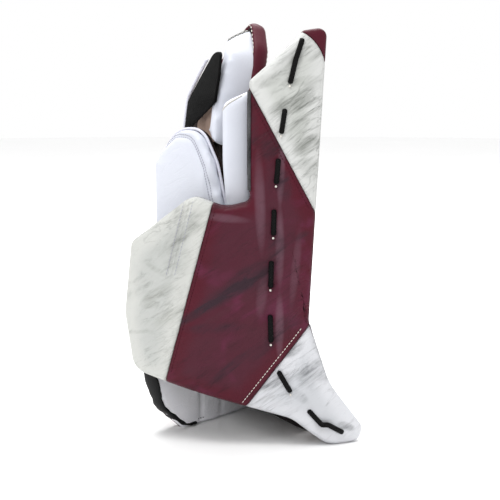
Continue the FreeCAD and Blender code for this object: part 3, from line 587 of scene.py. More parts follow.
class Wardrobe:
    """Every finish of the glove, made once."""

    THUMB_MARKS = (
        SmudgeOrHighlight(37, 366, 34, 12, 35, 0.55), SmudgeOrHighlight(55, 352, 34, 9, 8, 0.5), SmudgeOrHighlight(21, 352, 26, 12, 10, 0.5),
        SmudgeOrHighlight(42, 330, 42, 16, 20, 0.75), SmudgeOrHighlight(58, 293, 30, 16, 30, 0.95), SmudgeOrHighlight(50, 308, 34, 16, 62, 0.6),
        SmudgeOrHighlight(62, 270, 20, 22, 40, 0.5), SmudgeOrHighlight(66, 376, 18, 8, 40, 0.4),
    )
    WING_MARKS = (
        SmudgeOrHighlight(-84, 150, 36, 10, 35, 0.85), SmudgeOrHighlight(-92, 138, 20, 8, 10, 0.5), SmudgeOrHighlight(-64, 184, 26, 34, 60, 0.4),
        SmudgeOrHighlight(-58, 210, 40, 16, 25, 0.4), SmudgeOrHighlight(-72, 128, 40, 12, 30, 0.5), SmudgeOrHighlight(-104, 110, 30, 4, 10, 0.4),
        SmudgeOrHighlight(-84, 172, 26, 6, -30, 0.4),
    )
    HEEL_MARKS = (
        SmudgeOrHighlight(47, 97, 24, 10, 35, 0.95), SmudgeOrHighlight(22, 66, 26, 16, 25, 1.0), SmudgeOrHighlight(66, 74, 34, 22, 40, 0.6),
        SmudgeOrHighlight(72, 96, 30, 10, -55, 0.5), SmudgeOrHighlight(98, 18, 20, 8, -25, 0.6), SmudgeOrHighlight(52, 52, 20, 10, -40, 0.5),
    )
    MAIN_MARKS = (
        SmudgeOrHighlight(-46, 132, 62, 9, 32, 1.0), SmudgeOrHighlight(-20, 150, 60, 16, 30, 1.0), SmudgeOrHighlight(8, 168, 52, 24, 26, 0.95),
        SmudgeOrHighlight(36, 256, 16, 30, 10, 0.95), SmudgeOrHighlight(30, 196, 18, 30, 0, 0.7), SmudgeOrHighlight(-12, 82, 56, 9, 40, 0.95),
        SmudgeOrHighlight(6, 306, 14, 34, 0, 0.55), SmudgeOrHighlight(24, 292, 20, 34, 10, 0.6), SmudgeOrHighlight(-30, 118, 60, 10, 4, 0.6),
        SmudgeOrHighlight(40, 118, 34, 26, 30, 0.6), SmudgeOrHighlight(20, 102, 44, 14, 42, 0.6), SmudgeOrHighlight(56, 206, 18, 10, 20, 0.6),
    )
    # Painted highlight bands on the maroon body, lighter beside the lace column where the padded leather catches the
    # light.
    MAIN_PAINTED_HIGHLIGHTS = (
        SmudgeOrHighlight(34, 268, 60, 7, 88, 0.7), SmudgeOrHighlight(33, 196, 70, 8, 90, 0.8), SmudgeOrHighlight(33, 120, 60, 8, 90, 0.7),
        SmudgeOrHighlight(14, 240, 90, 10, 92, 0.6), SmudgeOrHighlight(-20, 224, 46, 8, -6, 0.5), SmudgeOrHighlight(16, 150, 40, 10, 84, 0.4),
        SmudgeOrHighlight(48, 176, 70, 8, 84, 0.4),
    )

    def __init__(self) -> None:
        """Make the materials."""
        finishes = (
            Leather("thumb_white", "c6c7c5", "b8bab6", "5a5d58", 1.15, self.THUMB_MARKS, 0.46, seed=0.3,
                    haze="6c6f69"),
            Leather("wing_white", "bfc0bc", "b1b3b0", "5f625d", 0.80, self.WING_MARKS, 0.44, seed=1.1,
                    haze="7b7d76"),
            Leather("heel_white", "cacbcf", "bbbdc1", "525557", 0.70, self.HEEL_MARKS, 0.44, seed=2.7,
                    haze="494b4e"),
            Leather("clean_white", "d0d3dc", "c9ccd6", "a2a2ae", 0.08, (), 0.40, relief=0.0002, seed=4.2,
                    edge_dirt=0.12),
            Leather("wing_inner", "efeff4", "e8e8ec", "8a8a90", 0.10, (), 0.42, relief=0.0002, seed=3.2,
                    edge_dirt=0.2),
            Leather("palm_white", "d2cfc6", "bdb9ae", "6a675f", 0.80, (), 0.5, seed=5.5),
            # The maroon finish gets painted highlight bands in a lighter dusty colour.
            Leather("maroon", "480319", "451424", "14060c", 0.55, self.MAIN_MARKS, 0.42, seed=7.1,
                    edge_dirt=0.5, haze="2f1c26", shine=0.22, painted_highlights=self.MAIN_PAINTED_HIGHLIGHTS, painted_highlight_colour="6a4c58", patch="571a35"),
            Leather("maroon_clean", "48051a", "4d0d22", "22060f", 0.22, (), 0.42, seed=8.4, edge_dirt=0.3,
                    shine=0.22),
            Leather("black_leather", "050506", "0b0b0c", "1b1b1d", 0.30, (), 0.55, seed=9.9, edge_dirt=0.0,
                    shine=0.2),
            Fabric("dark_fleece", "0d0908", "2c1f1c", 300.0, 0.0012),
            Fabric("grey_fuzz", "1c1c1e", "565657", 700.0, 0.0012),
            Fabric("beige_knit", "a98f80", "c0a596", 500.0, 0.0005),
            Weave("black_mesh", "010101", "070708", 1.8),
            Weave("strap_weave", "08080a", "1e1e22", 1.2, (0, 25, 35)),
            Fabric("loop_pile", "0a0a0b", "1b1b1e", 900.0, 0.0012),
            Braid("lace_black", "020202", "0b0b0c"),
            Braid("net_white", "cfcdc4", "e4e2da", 2.2),
            Braid("speckled_lace", "101010", "e0e0dc", 5.0),
            Braid("white_piping", "c9c9d4", "dcdce6", 8.0, 0.45, 0.0001),
            Braid("seam_cord", "9a9aa6", "b4b4c0", 1.4, 0.6, 0.0001),
            Braid("thread_white", "d6d2ca", "efece6", 0.8),
            Braid("thread_maroon", "3a0717", "6d2036", 0.8),
            Braid("thread_black", "08080a", "1c1c20", 0.8),
            Moulded("ring_plastic", "0b0b0c"),
        )
        self.made = {f.name: f.make() for f in finishes}

    def __getitem__(self, name: str) -> bpy.types.Material:
        """Material of a finish.

        Args:
            name: The finish's name.

        Returns:
            The material.
        """
        return self.made[name]


# ---------------------------------------------------------------------------------------------- surfaces
class Surface:
    """Curved wall that flat work is laid on."""

    def place(self, s: float, z: float, depth: float) -> Vector:
        """Point of the working frame, under the wall's outer face.

        Args:
            s: Coordinate across the wall.
            z: Coordinate up the wall.
            depth: Distance under the outer face.

        Returns:
            The point in millimetres.
        """
        raise NotImplementedError

    def out(self, s: float, z: float) -> Vector:
        """Outward direction at a place.

        Args:
            s: Coordinate across the wall.
            z: Coordinate up the wall.

        Returns:
            Unit vector.
        """
        return (self.place(s, z, 0.0) - self.place(s, z, 1.0)).normalized()


def bent(curve: Callable[[float], float], s: float, depth: float, side: float) -> Point:
    """Point of a plane curve, moved along its normal.

    Args:
        curve: Height of the curve at a place.
        s: The place.
        depth: How far the point moves.
        side: 1 to the left of the curve, -1 to the right.

    Returns:
        The two coordinates.
    """
    step = 0.01
    slope = (curve(s + step) - curve(s - step)) / (2 * step)
    length = math.hypot(1.0, slope)
    return s - side * depth * slope / length, curve(s) + side * depth / length


@dataclass
class NearSurface(Surface):
    """Wall of the thumb and the near wing, flat in its middle; a curl is how far it rises over how long a run."""

    face_y: float = -16.0
    total: float = 22.0
    flat_from: float = -20.0
    flat_to: float = 40.0
    far_curl: Point = (32.0, 100.0)
    free_curl: Point = (24.0, 78.0)

    def face(self, x: float) -> float:
        """Y of the outer face.

        Args:
            x: Place across the wall.

        Returns:
            The Y coordinate.
        """
        if x < self.flat_from:
            rise, run = self.far_curl
            return self.face_y + rise * ((self.flat_from - x) / run) ** 2
        if x > self.flat_to:
            rise, run = self.free_curl
            return self.face_y + rise * ((x - self.flat_to) / run) ** 2
        return self.face_y

    def place(self, s: float, z: float, depth: float) -> Vector:
        """See Surface.place."""
        x, y = bent(self.face, s, depth, 1.0)
        return Vector((x, y, z))


@dataclass
class PalmSurface(Surface):
    """Wall of the palm and the fingers; S runs from the break to the little finger."""

    break_point: Vector = field(default_factory=lambda: Vector((30.0, 16.0, 0.0)))
    angle: float = 118.0
    flare: float = 62.0
    flare_height: float = 120.0
    lean: float = 27.0
    lean_start: float = 240.0
    height: float = 407.0
    total: float = 15.0
    web_height: float = 225.0
    wall_limit: tuple = (-4.6, 0.469, 0.883)
    sweep_limit: Point = (0.325, 8.6)

    def __post_init__(self) -> None:
        """Work out the wall's directions."""
        turn = math.radians(self.angle)
        self.along = Vector((math.cos(turn), math.sin(turn), 0.0))
        self.forward = Vector((self.along.y, -self.along.x, 0.0))

    def face(self, v: float) -> float:
        """Forward place of the outer face at a height.

        Args:
            v: The height.

        Returns:
            Distance in front of the wall's plane.
        """
        if v < self.flare_height:
            return self.flare * (1 - v / self.flare_height) ** 2
        if v > self.lean_start:
            return self.lean * ((v - self.lean_start) / (self.height - self.lean_start)) ** 2
        return 0.0

    def place(self, s: float, z: float, depth: float) -> Vector:
        """See Surface.place; the wall stops short of the thumb wall and of its sweep."""
        v, n = bent(self.face, z, depth, -1.0)
        gap, lean_in, run = self.wall_limit
        slope, reach = self.sweep_limit
        floor = max((gap - lean_in * n) / run, slope * n - reach) if v < self.web_height else s
        point = self.break_point + self.along * max(s, floor) + self.forward * n
        return Vector((point.x, point.y, max(v, 0.0)))


@dataclass
class WingSurface(Surface):
    """Far wing of the cuff, ruled between a curve at its foot and one at its top; S is X."""

    foot: tuple = ((-104, 36), (-86, 50), (-62, 72), (-32, 107), (-6, 143), (14, 172))
    top: tuple = ((-104, 46), (-99, 72), (-88, 98), (-72, 118), (-52, 131), (-34, 146))
    height: float = 190.0
    total: float = 14.0
    reach: Point = (-0.6, 5.0)
    halvings: int = 22

    @staticmethod
    def along(knots: tuple, t: float) -> Vector:
        """Point of a smooth curve through knots.

        Args:
            knots: X and Y of each knot.
            t: Place, counted in knots.

        Returns:
            The point.
        """
        last = len(knots) - 1
        i = min(max(int(math.floor(t)), 0), last - 1)
        u = t - i
        around = [Vector(knots[min(max(i + k, 0), last)]) for k in (-1, 0, 1, 2)]
        a, b, c, d = around
        slope_b = (c - a) / (2.0 if i > 0 else 1.0)
        slope_c = (d - b) / (2.0 if i + 2 <= last else 1.0)
        h00 = 2 * u ** 3 - 3 * u ** 2 + 1
        h10 = u ** 3 - 2 * u ** 2 + u
        h01 = -2 * u ** 3 + 3 * u ** 2
        h11 = u ** 3 - u ** 2
        return b * h00 + slope_b * h10 + c * h01 + slope_c * h11

    def at(self, t: float, z: float) -> Vector:
        """Point of the outer face.

        Args:
            t: Place, counted in knots.
            z: The height.

        Returns:
            The point in plan.
        """
        share = z / self.height
        return self.along(self.foot, t) * (1 - share) + self.along(self.top, t) * share

    def place(self, s: float, z: float, depth: float) -> Vector:
        """See Surface.place."""
        low, high = self.reach
        for _ in range(self.halvings):
            middle = (low + high) / 2
            if self.at(middle, z).x < s:
                low = middle
            else:
                high = middle
        here = self.at(low, z)
        ahead = (self.at(low + 0.05, z) - self.at(low - 0.05, z)).normalized()
        inward = Vector((ahead.y, -ahead.x))
        point = here + inward * depth
        return Vector((point.x, point.y, z))


@dataclass
class WebSurface(Surface):
    """Arc of the pocket between the thumb and the index finger; S runs from 0 to its width across it."""

    near: NearSurface
    palm: PalmSurface
    width: float = 60.0
    thumb_gap: float = 4.4
    lining_gap: float = 0.4
    span: float = 174.0
    low: float = 228.0
    middle: float = 305.0
    bulge: float = 22.0
    edge: tuple = ((14.0, 228.0), (38.0, 262.0), (42.0, 340.0), (50.0, 380.0), (74.0, 419.0))
    lace: tuple = ((53.5, 391.5), (42.0, 349.5), (37.5, 326.5), (34.0, 303.0), (31.5, 280.0), (29.5, 256.0),
                   (27.5, 232.0), (27.0, 207.0))

    @staticmethod
    def between(stops: Iterable[Point], z: float) -> float:
        """Coordinate on a broken line, at a height.

        Args:
            stops: Coordinate and height of each point, upwards.
            z: The height.

        Returns:
            The coordinate.
        """
        stops = list(stops)
        for (low_s, low_z), (high_s, high_z) in zip(stops, stops[1:]):
            if z <= high_z:
                return low_s + (high_s - low_s) * (z - low_z) / (high_z - low_z)
        return stops[-1][0]

    def ends(self, z: float) -> tuple[Vector, Vector]:
        """Both ends of the arc at a height.

        Args:
            z: The height.

        Returns:
            The thumb's end and the index finger's end.
        """
        thumb = self.near.place(self.between(reversed(self.lace), z) + self.thumb_gap, z,
                                self.near.total + self.lining_gap)
        index = self.palm.place(self.between(self.edge, z) - self.lining_gap, z, self.palm.total / 2)
        index.z = z
        return thumb, index

    def place(self, s: float, z: float, depth: float) -> Vector:
        """See Surface.place; depth counts from the web's middle."""
        thumb, index = self.ends(z)
        chord = index - thumb
        ahead = Vector((chord.y, -chord.x, 0.0)).normalized()
        rise = (z - self.middle) / self.span
        bulge = self.bulge * (1 - 2 * rise * rise)
        radius = (chord.length ** 2 / 4 + bulge ** 2) / (2 * bulge)
        centre = (thumb + index) * 0.5 + ahead * (bulge - radius)
        turn = 2 * math.asin(min(1.0, chord.length / (2 * radius))) * (s / self.width - 0.5)
        direction = ahead * math.cos(turn) + chord.normalized() * math.sin(turn)
        return centre + direction * (radius - depth)


# ---------------------------------------------------------------------------------------------- making pieces
def make_object(name: str, bm: bmesh.types.BMesh, smooth: bool = True) -> bpy.types.Object:
    """Turn a bmesh into a piece and free it.

    Args:
        name: The piece's name.
        bm: The shape in metres.
        smooth: Whether faces are shaded smooth.

    Returns:
        The piece.
    """
    for face in bm.faces:
        face.smooth = smooth
    mesh = bpy.data.meshes.new(name)
    bm.to_mesh(mesh)
    bm.free()
    made = bpy.data.objects.new(name, mesh)
    bpy.context.scene.collection.objects.link(made)
    return made


def put_on(piece: bpy.types.Object, material: bpy.types.Material, body: Body,
           nodes: Sequence[str] = ()) -> bpy.types.Object:
    """Give a piece its material, body and the CAD nodes that it stands for.

    Args:
        piece: The piece.
        material: Its material.
        body: The body that it rides on.
        nodes: CAD nodes that it replaces.

    Returns:
        The piece.
    """
    piece.data.materials.clear()
    piece.data.materials.append(material)
    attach(piece, body.value)
    if nodes:
        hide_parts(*nodes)
    LOG.info("%s: %d faces", piece.name, len(piece.data.polygons))
    return piece


@contextmanager
def edited(piece: bpy.types.Object) -> Iterator[bmesh.types.BMesh]:
    """Open a piece's mesh as a bmesh and write it back afterwards.

    Args:
        piece: The piece.

    Yields:
        The bmesh.
    """
    bm = bmesh.new()
    bm.from_mesh(piece.data)
    yield bm
    bm.to_mesh(piece.data)
    bm.free()


def without_edges(bm: bmesh.types.BMesh) -> None:
    """Say in the "edge" attribute that no point lies near a cut edge.

    Args:
        bm: The shape.
    """
    edge = bm.verts.layers.float.get("edge") or bm.verts.layers.float.new("edge")
    for vert in bm.verts:
        vert[edge] = FAR_FROM_EDGE


def soften(bm: bmesh.types.BMesh, rounds: int = 1) -> None:
    """Smooth every point towards its neighbours.

    Args:
        bm: The shape.
        rounds: How often.
    """
    for _ in range(rounds):
        bmesh.ops.smooth_vert(bm, verts=bm.verts[:], factor=0.5, use_axis_x=True, use_axis_y=True, use_axis_z=True)


def posed(side: Vector, up: Vector, ahead: Vector, sizes: tuple, centre: Vector) -> Matrix:
    """Matrix that turns, stretches and moves a shape.

    Args:
        side: Where its X axis goes.
        up: Where its Y axis goes.
        ahead: Where its Z axis goes.
        sizes: Factor along each axis.
        centre: Where its origin goes.

    Returns:
        The matrix.
    """
    rows = [(side[i] * sizes[0], up[i] * sizes[1], ahead[i] * sizes[2], centre[i]) for i in range(3)]
    return Matrix((*rows, (0, 0, 0, 1)))


def flat_outline(corners: Sequence[Corner]) -> bmesh.types.BMesh:
    """Flat face with rounded corners, in S and Z.

    Args:
        corners: S, Z and radius of each corner.

    Returns:
        The face in a new bmesh.
    """
    bm = bmesh.new()
    points = [bm.verts.new((s, z, 0.0)) for s, z, _ in corners]
    bm.faces.new(points)
    count = len(corners)
    for i, (s, z, radius) in enumerate(corners):
        if radius <= 0:
            continue
        here = Vector((s, z))
        back = Vector(corners[i - 1][:2]) - here
        ahead = Vector(corners[(i + 1) % count][:2]) - here
        half = back.angle(ahead) / 2
        reach = min(radius / math.tan(half), 0.47 * min(back.length, ahead.length))
        bmesh.ops.bevel(bm, geom=[points[i]], offset=reach, offset_type="OFFSET", segments=8, profile=0.5,
                        affect="VERTICES", material=-1)
    return bm


def keep_left(bm: bmesh.types.BMesh, start: Point, end: Point) -> None:
    """Cut a flat bmesh along a line and keep what is on its left.

    Args:
        bm: The flat shape.
        start: A point of the line.
        end: Another one.
    """
    along = Vector((end[0] - start[0], end[1] - start[1], 0.0))
    right = Vector((along.y, -along.x, 0.0)).normalized()
    everything = bm.verts[:] + bm.edges[:] + bm.faces[:]
    bmesh.ops.bisect_plane(bm, geom=everything, dist=0.001, plane_co=(start[0], start[1], 0.0), plane_no=right,
                           clear_outer=True)


def score(bm: bmesh.types.BMesh, start: Vector, direction: Vector) -> None:
    """Cut a flat bmesh along a line and keep both sides.

    Args:
        bm: The flat shape.
        start: A point of the line.
        direction: The line's normal.
    """
    everything = bm.verts[:] + bm.edges[:] + bm.faces[:]
    bmesh.ops.bisect_plane(bm, geom=everything, dist=0.02, plane_co=start, plane_no=direction)


def segment_distance(points: np.ndarray, start: np.ndarray, end: np.ndarray) -> np.ndarray:
    """Distance of points to the nearest of some segments.

    Args:
        points: N by 2.
        start: The segments' first points, M by 2.
        end: Their last points.

    Returns:
        N distances.
    """
    if len(start) == 0:
        return np.full(len(points), 1e6)
    run = end - start
    square = np.maximum((run ** 2).sum(1), 1e-9)
    rel = points[:, None, :] - start[None]
    t = np.clip((rel * run[None]).sum(2) / square[None], 0.0, 1.0)
    gap = rel - t[..., None] * run[None]
    return np.sqrt((gap ** 2).sum(2)).min(1)


def edge_segments(bm: bmesh.types.BMesh) -> tuple[np.ndarray, np.ndarray]:
    """Boundary of a flat bmesh as segments.

    Args:
        bm: The flat shape.

    Returns:
        First and last points, M by 2 each.
    """
    edges = [e for e in bm.edges if e.is_boundary]
    start = np.array([e.verts[0].co[:2] for e in edges]).reshape(-1, 2)
    end = np.array([e.verts[1].co[:2] for e in edges]).reshape(-1, 2)
    return start, end


def rounding(distance: float, radius: float) -> float:
    """How far a rounded edge has dropped at a distance from it.

    Args:
        distance: Distance from the edge.
        radius: The edge's radius.

    Returns:
        The drop.
    """
    if distance >= radius:
        return 0.0
    return radius - math.sqrt(max(0.0, radius ** 2 - (radius - distance) ** 2))


@dataclass
class Groove:
    """Sewn line or crease in a panel."""

    start: Point
    end: Point
    depth: float = 0.8
    width: float = 1.3

    def drop(self, s: float, z: float) -> float:
        """Depth of the groove at a place.

        Args:
            s: Coordinate across the wall.
            z: Coordinate up the wall.

        Returns:
            The depth.
        """
        point = Vector((s, z))
        a, b = Vector(self.start), Vector(self.end)
        run = b - a
        t = min(max((point - a).dot(run) / run.length_squared, 0.0), 1.0)
        gap = (point - a - run * t).length
        return self.depth * math.exp(-(gap / self.width) ** 2)

    def scores(self) -> list[tuple[Vector, Vector]]:
        """Lines along which the panel's mesh is cut, so that the groove shows.

        Returns:
            Points and normals.
        """
        run = Vector((self.end[0] - self.start[0], self.end[1] - self.start[1], 0.0)).normalized()
        side = Vector((-run.y, run.x, 0.0))
        middle = Vector((self.start[0], self.start[1], 0.0))
        return [(middle + side * k * self.width, side) for k in (-1.6, -0.8, 0.0, 0.8, 1.6)]


@dataclass
class Panel:
    """Padded piece of leather, cut from a flat outline and laid on a surface.

    Its front is `front` deep and its back `back` deep, so a panel of a wall's inner side has front > back.
    """

    name: str
    surface: Surface
    corners: Sequence[Corner]
    front: float
    back: float
    free: Sequence[Corner] = ()
    cuts: Sequence[tuple[Point, Point]] = ()
    grooves: Sequence[Groove] = ()
    dents: Sequence[tuple[float, float, float, float]] = ()
    edge_radius: float = 5.0
    seam_radius: float = 1.3
    puff: float = 0.8
    wrinkle: float = 0.45
    grid: float = 3.2
    rings: tuple = (0.4, 0.8, 1.4, 1.8)
    seed: float = 0.0
    swell: float = 14.0
    calm: float = 6.0
    waves: Point = (46.0, 17.0)

    def flat(self) -> bmesh.types.BMesh:
        """Flat shape with its rings and grid.

        Returns:
            The bmesh in S and Z.
        """
        bm = flat_outline(self.corners)
        for start, end in self.cuts:
            keep_left(bm, start, end)
        self.borders = edge_segments(bm)
        inner = bm.faces[:]
        for ring in self.rings:
            bmesh.ops.inset_region(bm, faces=inner, thickness=ring, use_boundary=True, use_even_offset=True)
        for groove in self.grooves:
            for start, normal in groove.scores():
                score(bm, start, normal)
        co = np.array([v.co[:2] for v in bm.verts])
        low, high = co.min(0), co.max(0)
        for axis, normal in ((0, Vector((1, 0, 0))), (1, Vector((0, 1, 0)))):
            count = max(2, int((high[axis] - low[axis]) / self.grid))
            for i in range(1, count):
                at = low[axis] + (high[axis] - low[axis]) * (i + 0.13) / count
                score(bm, normal * at, normal)
        return bm

    def sink(self, s: float, z: float, free: float, seam: float) -> float:
        """How far the front lies under the surface's even depth at a place.

        Args:
            s: Coordinate across the wall.
            z: Coordinate up the wall.
            free: Distance from the wall's free edge.
            seam: Distance from a seam with another panel.

        Returns:
            The drop; less than zero where the padding stands proud.
        """
        drop = rounding(free, self.edge_radius) + rounding(seam, self.seam_radius)
        inside = min(free, seam * 1.3)
        drop -= self.puff * (1 - math.exp(-inside / self.swell))
        drop += sum(groove.drop(s, z) for groove in self.grooves)
        for ds, dz, depth, width in self.dents:
            drop += depth * math.exp(-((s - ds) ** 2 + (z - dz) ** 2) / width ** 2)
        calm = 1 - math.exp(-inside / self.calm)
        turned = Vector((s * 0.82 + z * 0.57, (z * 0.82 - s * 0.57) * 2.2, self.seed * 10.0))
        long_wave, short_wave = self.waves
        drop += self.wrinkle * calm * noise.noise(turned / long_wave)
        drop += self.wrinkle * 0.6 * calm * noise.noise(turned / short_wave)
        return drop

    def build(self) -> bpy.types.Object:
        """Make the panel.

        Returns:
            The piece.
        """
        bm = self.flat()
        edge = bm.verts.layers.float.new("edge")
        co = np.array([v.co[:2] for v in bm.verts])
        outline = flat_outline(self.free or self.corners)
        whole = edge_segments(outline)
        outline.free()
        start, end = self.borders
        middle = (start + end) / 2
        sewn = segment_distance(middle, *whole) > 0.6
        free = segment_distance(co, start[~sewn], end[~sewn])
        seam = segment_distance(co, start[sewn], end[sewn])
        inward = 1.0 if self.back > self.front else -1.0
        fronts, backs = [], []
        for vert, free_gap, seam_gap in zip(bm.verts, free, seam):
            s, z = vert.co.x, vert.co.y
            depth = self.front + inward * self.sink(s, z, free_gap, seam_gap)
            vert[edge] = min(free_gap, seam_gap)
            fronts.append(Shop.metres(self.surface.place(s, z, depth)))
            backs.append(Shop.metres(self.surface.place(s, z, self.back)))
        bm.verts.index_update()
        order = bm.verts.layers.int.new("order")
        for i, vert in enumerate(bm.verts):
            vert[order] = i
        made = bmesh.ops.extrude_face_region(bm, geom=bm.faces[:], use_keep_orig=True)
        behind = {g for g in made["geom"] if isinstance(g, bmesh.types.BMVert)}
        for vert in bm.verts:
            vert.co = (backs if vert in behind else fronts)[vert[order]]
            if vert in behind:
                vert[edge] = FAR_FROM_EDGE
        bmesh.ops.remove_doubles(bm, verts=bm.verts[:], dist=WELD)
        bmesh.ops.recalc_face_normals(bm, faces=bm.faces[:])
        return make_object(self.name, bm)


@dataclass
class Rail:
    """Path on a surface with its outward directions."""

    points: list
    outs: list

    @classmethod
    def on(cls, surface: Surface, path: Sequence[Corner], depth: float, step: float = 3.0,
           closed: bool = False) -> "Rail":
        """Rail along a flat path.

        Args:
            surface: Wall that the path lies on.
            path: S, Z and radius of each corner.
            depth: Depth under the wall's face.
            step: Distance between the rail's points.
            closed: Whether the path returns to its start.

        Returns:
            The rail.
        """
        flat = cls.flat_points(path, closed)
        dense = cls.even(flat, step)
        points = [surface.place(p.x, p.y, depth) for p in dense]
        outs = [surface.out(p.x, p.y) for p in dense]
        return cls(points, outs)

    @staticmethod
    def flat_points(path: Sequence[Corner], closed: bool) -> list:
        """Points of a path with rounded corners.

        Args:
            path: S, Z and radius of each corner.
            closed: Whether it returns to its start.

        Returns:
            The points.
        """
        points = []
        count = len(path)
        for i, (s, z, radius) in enumerate(path):
            here = Vector((s, z))
            if radius <= 0 or (not closed and i in (0, count - 1)):
                points.append(here)
                continue
            back = Vector(path[i - 1][:2]) - here
            ahead = Vector(path[(i + 1) % count][:2]) - here
            half = back.angle(ahead) / 2
            reach = min(radius / math.tan(half), 0.47 * min(back.length, ahead.length))
            first = here + back.normalized() * reach
            last = here + ahead.normalized() * reach
            points += [first.lerp(here, t).lerp(here.lerp(last, t), t) for t in np.linspace(0, 1, 8)]
        if closed:
            points.append(points[0].copy())
        return points

    @staticmethod
    def even(points: list, step: float) -> list:
        """Points at even distances along a broken line.

        Args:
            points: The line's points.
            step: Wanted distance.

        Returns:
            The new points.
        """
        gaps = [(b - a).length for a, b in zip(points, points[1:])]
        total = sum(gaps)
        count = max(2, round(total / step))
        found, i, run = [], 0, 0.0
        for k in range(count + 1):
            target = total * k / count
            while i < len(gaps) - 1 and run + gaps[i] < target:
                run += gaps[i]
                i += 1
            share = (target - run) / gaps[i] if gaps[i] > 1e-9 else 0.0
            found.append(points[i].lerp(points[i + 1], min(share, 1.0)))
        return found


@dataclass
class Tube:
    """Cord, piping or roll swept along a rail."""

    name: str
    rail: Rail
    width: float
    height: float
    lift: float = 0.0
    sides: int = 12
    round_ends: float = 0.0
    closed: bool = False
    lumps: float = 0.0
    lump_size: float = 7.0
    least: float = 0.12

    def scale_at(self, k: int, gone: list) -> float:
        """Share of the full section at a station.

        Args:
            k: The station.
            gone: Distance of each station along the rail.

        Returns:
            The share.
        """
        if self.round_ends <= 0:
            return 1.0
        near = min(gone[k], gone[-1] - gone[k])
        if near >= self.round_ends:
            return 1.0
        return max(self.least, math.sqrt(1 - (1 - near / self.round_ends) ** 2))

    def build(self, bm: Optional[bmesh.types.BMesh] = None) -> Union[bpy.types.Object, None]:
        """Sweep the section.

        Args:
            bm: Shape to add to, or None for a piece of its own.

        Returns:
            The piece, or None when it was added to bm.
        """
        own = bm is None
        bm = bmesh.new() if own else bm
        points, outs = self.rail.points, self.rail.outs
        last = len(points) - 1
        gone = [0.0]
        for a, b in zip(points, points[1:]):
            gone.append(gone[-1] + (b - a).length)
        uv_layer = bm.loops.layers.uv.get("cord") or bm.loops.layers.uv.new("cord")
        before = len(bm.faces)
        ring = bmesh.ops.create_circle(bm, cap_ends=False, radius=1.0, segments=self.sides)["verts"]
        edges = list({e for v in ring for e in v.link_edges})
        shape = Matrix.Identity(4)
        where: dict = {v: (0.0, i / self.sides) for i, v in enumerate(ring)}
        order = {v: i for i, v in enumerate(ring)}
        for k in range(last + 1):
            if self.closed:
                ahead = points[(k + 1) % last] - points[(k - 1) % last]
            else:
                ahead = points[min(k + 1, last)] - points[max(k - 1, 0)]
            ahead = ahead.normalized()
            side = outs[k].cross(ahead).normalized()
            up = ahead.cross(side)
            size = self.scale_at(k, gone) * (1.0 + self.lumps * noise.noise(points[k] / self.lump_size))
            centre = Shop.metres(points[k] + outs[k] * self.lift)
            half_w, half_h = self.width / 2 * size * MM, self.height / 2 * size * MM
            now = posed(side, up, ahead, (half_w, half_h, MM), centre)
            if k > 0:
                if self.closed and k == last:
                    bmesh.ops.bridge_loops(bm, edges=edges + first_edges)
                    break
                made = bmesh.ops.extrude_edge_only(bm, edges=edges)["geom"]
                ring = [g for g in made if isinstance(g, bmesh.types.BMVert)]
                edges = [g for g in made if isinstance(g, bmesh.types.BMEdge)]
                for vert in ring:
                    source = next(e.other_vert(vert) for e in vert.link_edges if e.other_vert(vert) in order)
                    where[vert] = (gone[k], order[source] / self.sides)
                order = {v: round(where[v][1] * self.sides) for v in ring}
            else:
                first_edges = list(edges)
            bmesh.ops.transform(bm, matrix=now @ shape.inverted(), verts=ring)
            shape = now
        if not self.closed:
            bmesh.ops.contextual_create(bm, geom=first_edges)
            bmesh.ops.contextual_create(bm, geom=edges)
        bm.faces.ensure_lookup_table()
        fresh = bm.faces[before:]
        for face in fresh:
            for loop in face.loops:
                u, v = where.get(loop.vert, (0.0, 0.0))
                if v == 0.0 and any(where.get(x.vert, (0, 0))[1] > 0.6 for x in face.loops):
                    v = 1.0
                loop[uv_layer].uv = (u, v)
        bmesh.ops.recalc_face_normals(bm, faces=fresh)
        without_edges(bm)
        return make_object(self.name, bm) if own else None


def sew(name: str, rail: Rail, pitch: float = 3.6, length: float = 2.4, thick: float = 0.7,
        lift: float = 0.1) -> bpy.types.Object:
    """Row of stitches along a rail.

    Args:
        name: The piece's name.
        rail: Line of the stitches.
        pitch: Distance from one stitch to the next.
        length: Length of a stitch.
        thick: The thread's thickness.
        lift: Height over the rail.

    Returns:
        The stitches as one piece.
    """
    bm = bmesh.new()
    points = Rail.even(rail.points, pitch)
    outs = [rail.outs[round(k * (len(rail.outs) - 1) / (len(points) - 1))] for k in range(len(points))]
    for k in range(len(points) - 1):
        ahead = (points[k + 1] - points[k]).normalized()
        side = outs[k].cross(ahead).normalized()
        up = ahead.cross(side)
        centre = Shop.metres((points[k] + points[k + 1]) / 2 + outs[k] * lift)
        half, fat = length / 2 * MM, thick / 2 * MM
        matrix = posed(side, up, ahead, (fat, fat, half), centre)
        bmesh.ops.create_uvsphere(bm, u_segments=6, v_segments=5, radius=1.0, matrix=matrix)
    bm.loops.layers.uv.new("cord")
    return make_object(name, bm)


def cad_shape(*nodes: str) -> bmesh.types.BMesh:
    """Merged copy of CAD nodes.

    Args:
        nodes: The nodes' names.

    Returns:
        The copy, closed again.
    """
    bm = bmesh.new()
    for node in nodes:
        bm.from_mesh(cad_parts[node].data)
    bmesh.ops.remove_doubles(bm, verts=bm.verts[:], dist=2e-6)
    bmesh.ops.dissolve_degenerate(bm, edges=bm.edges[:], dist=WELD)
    return bm


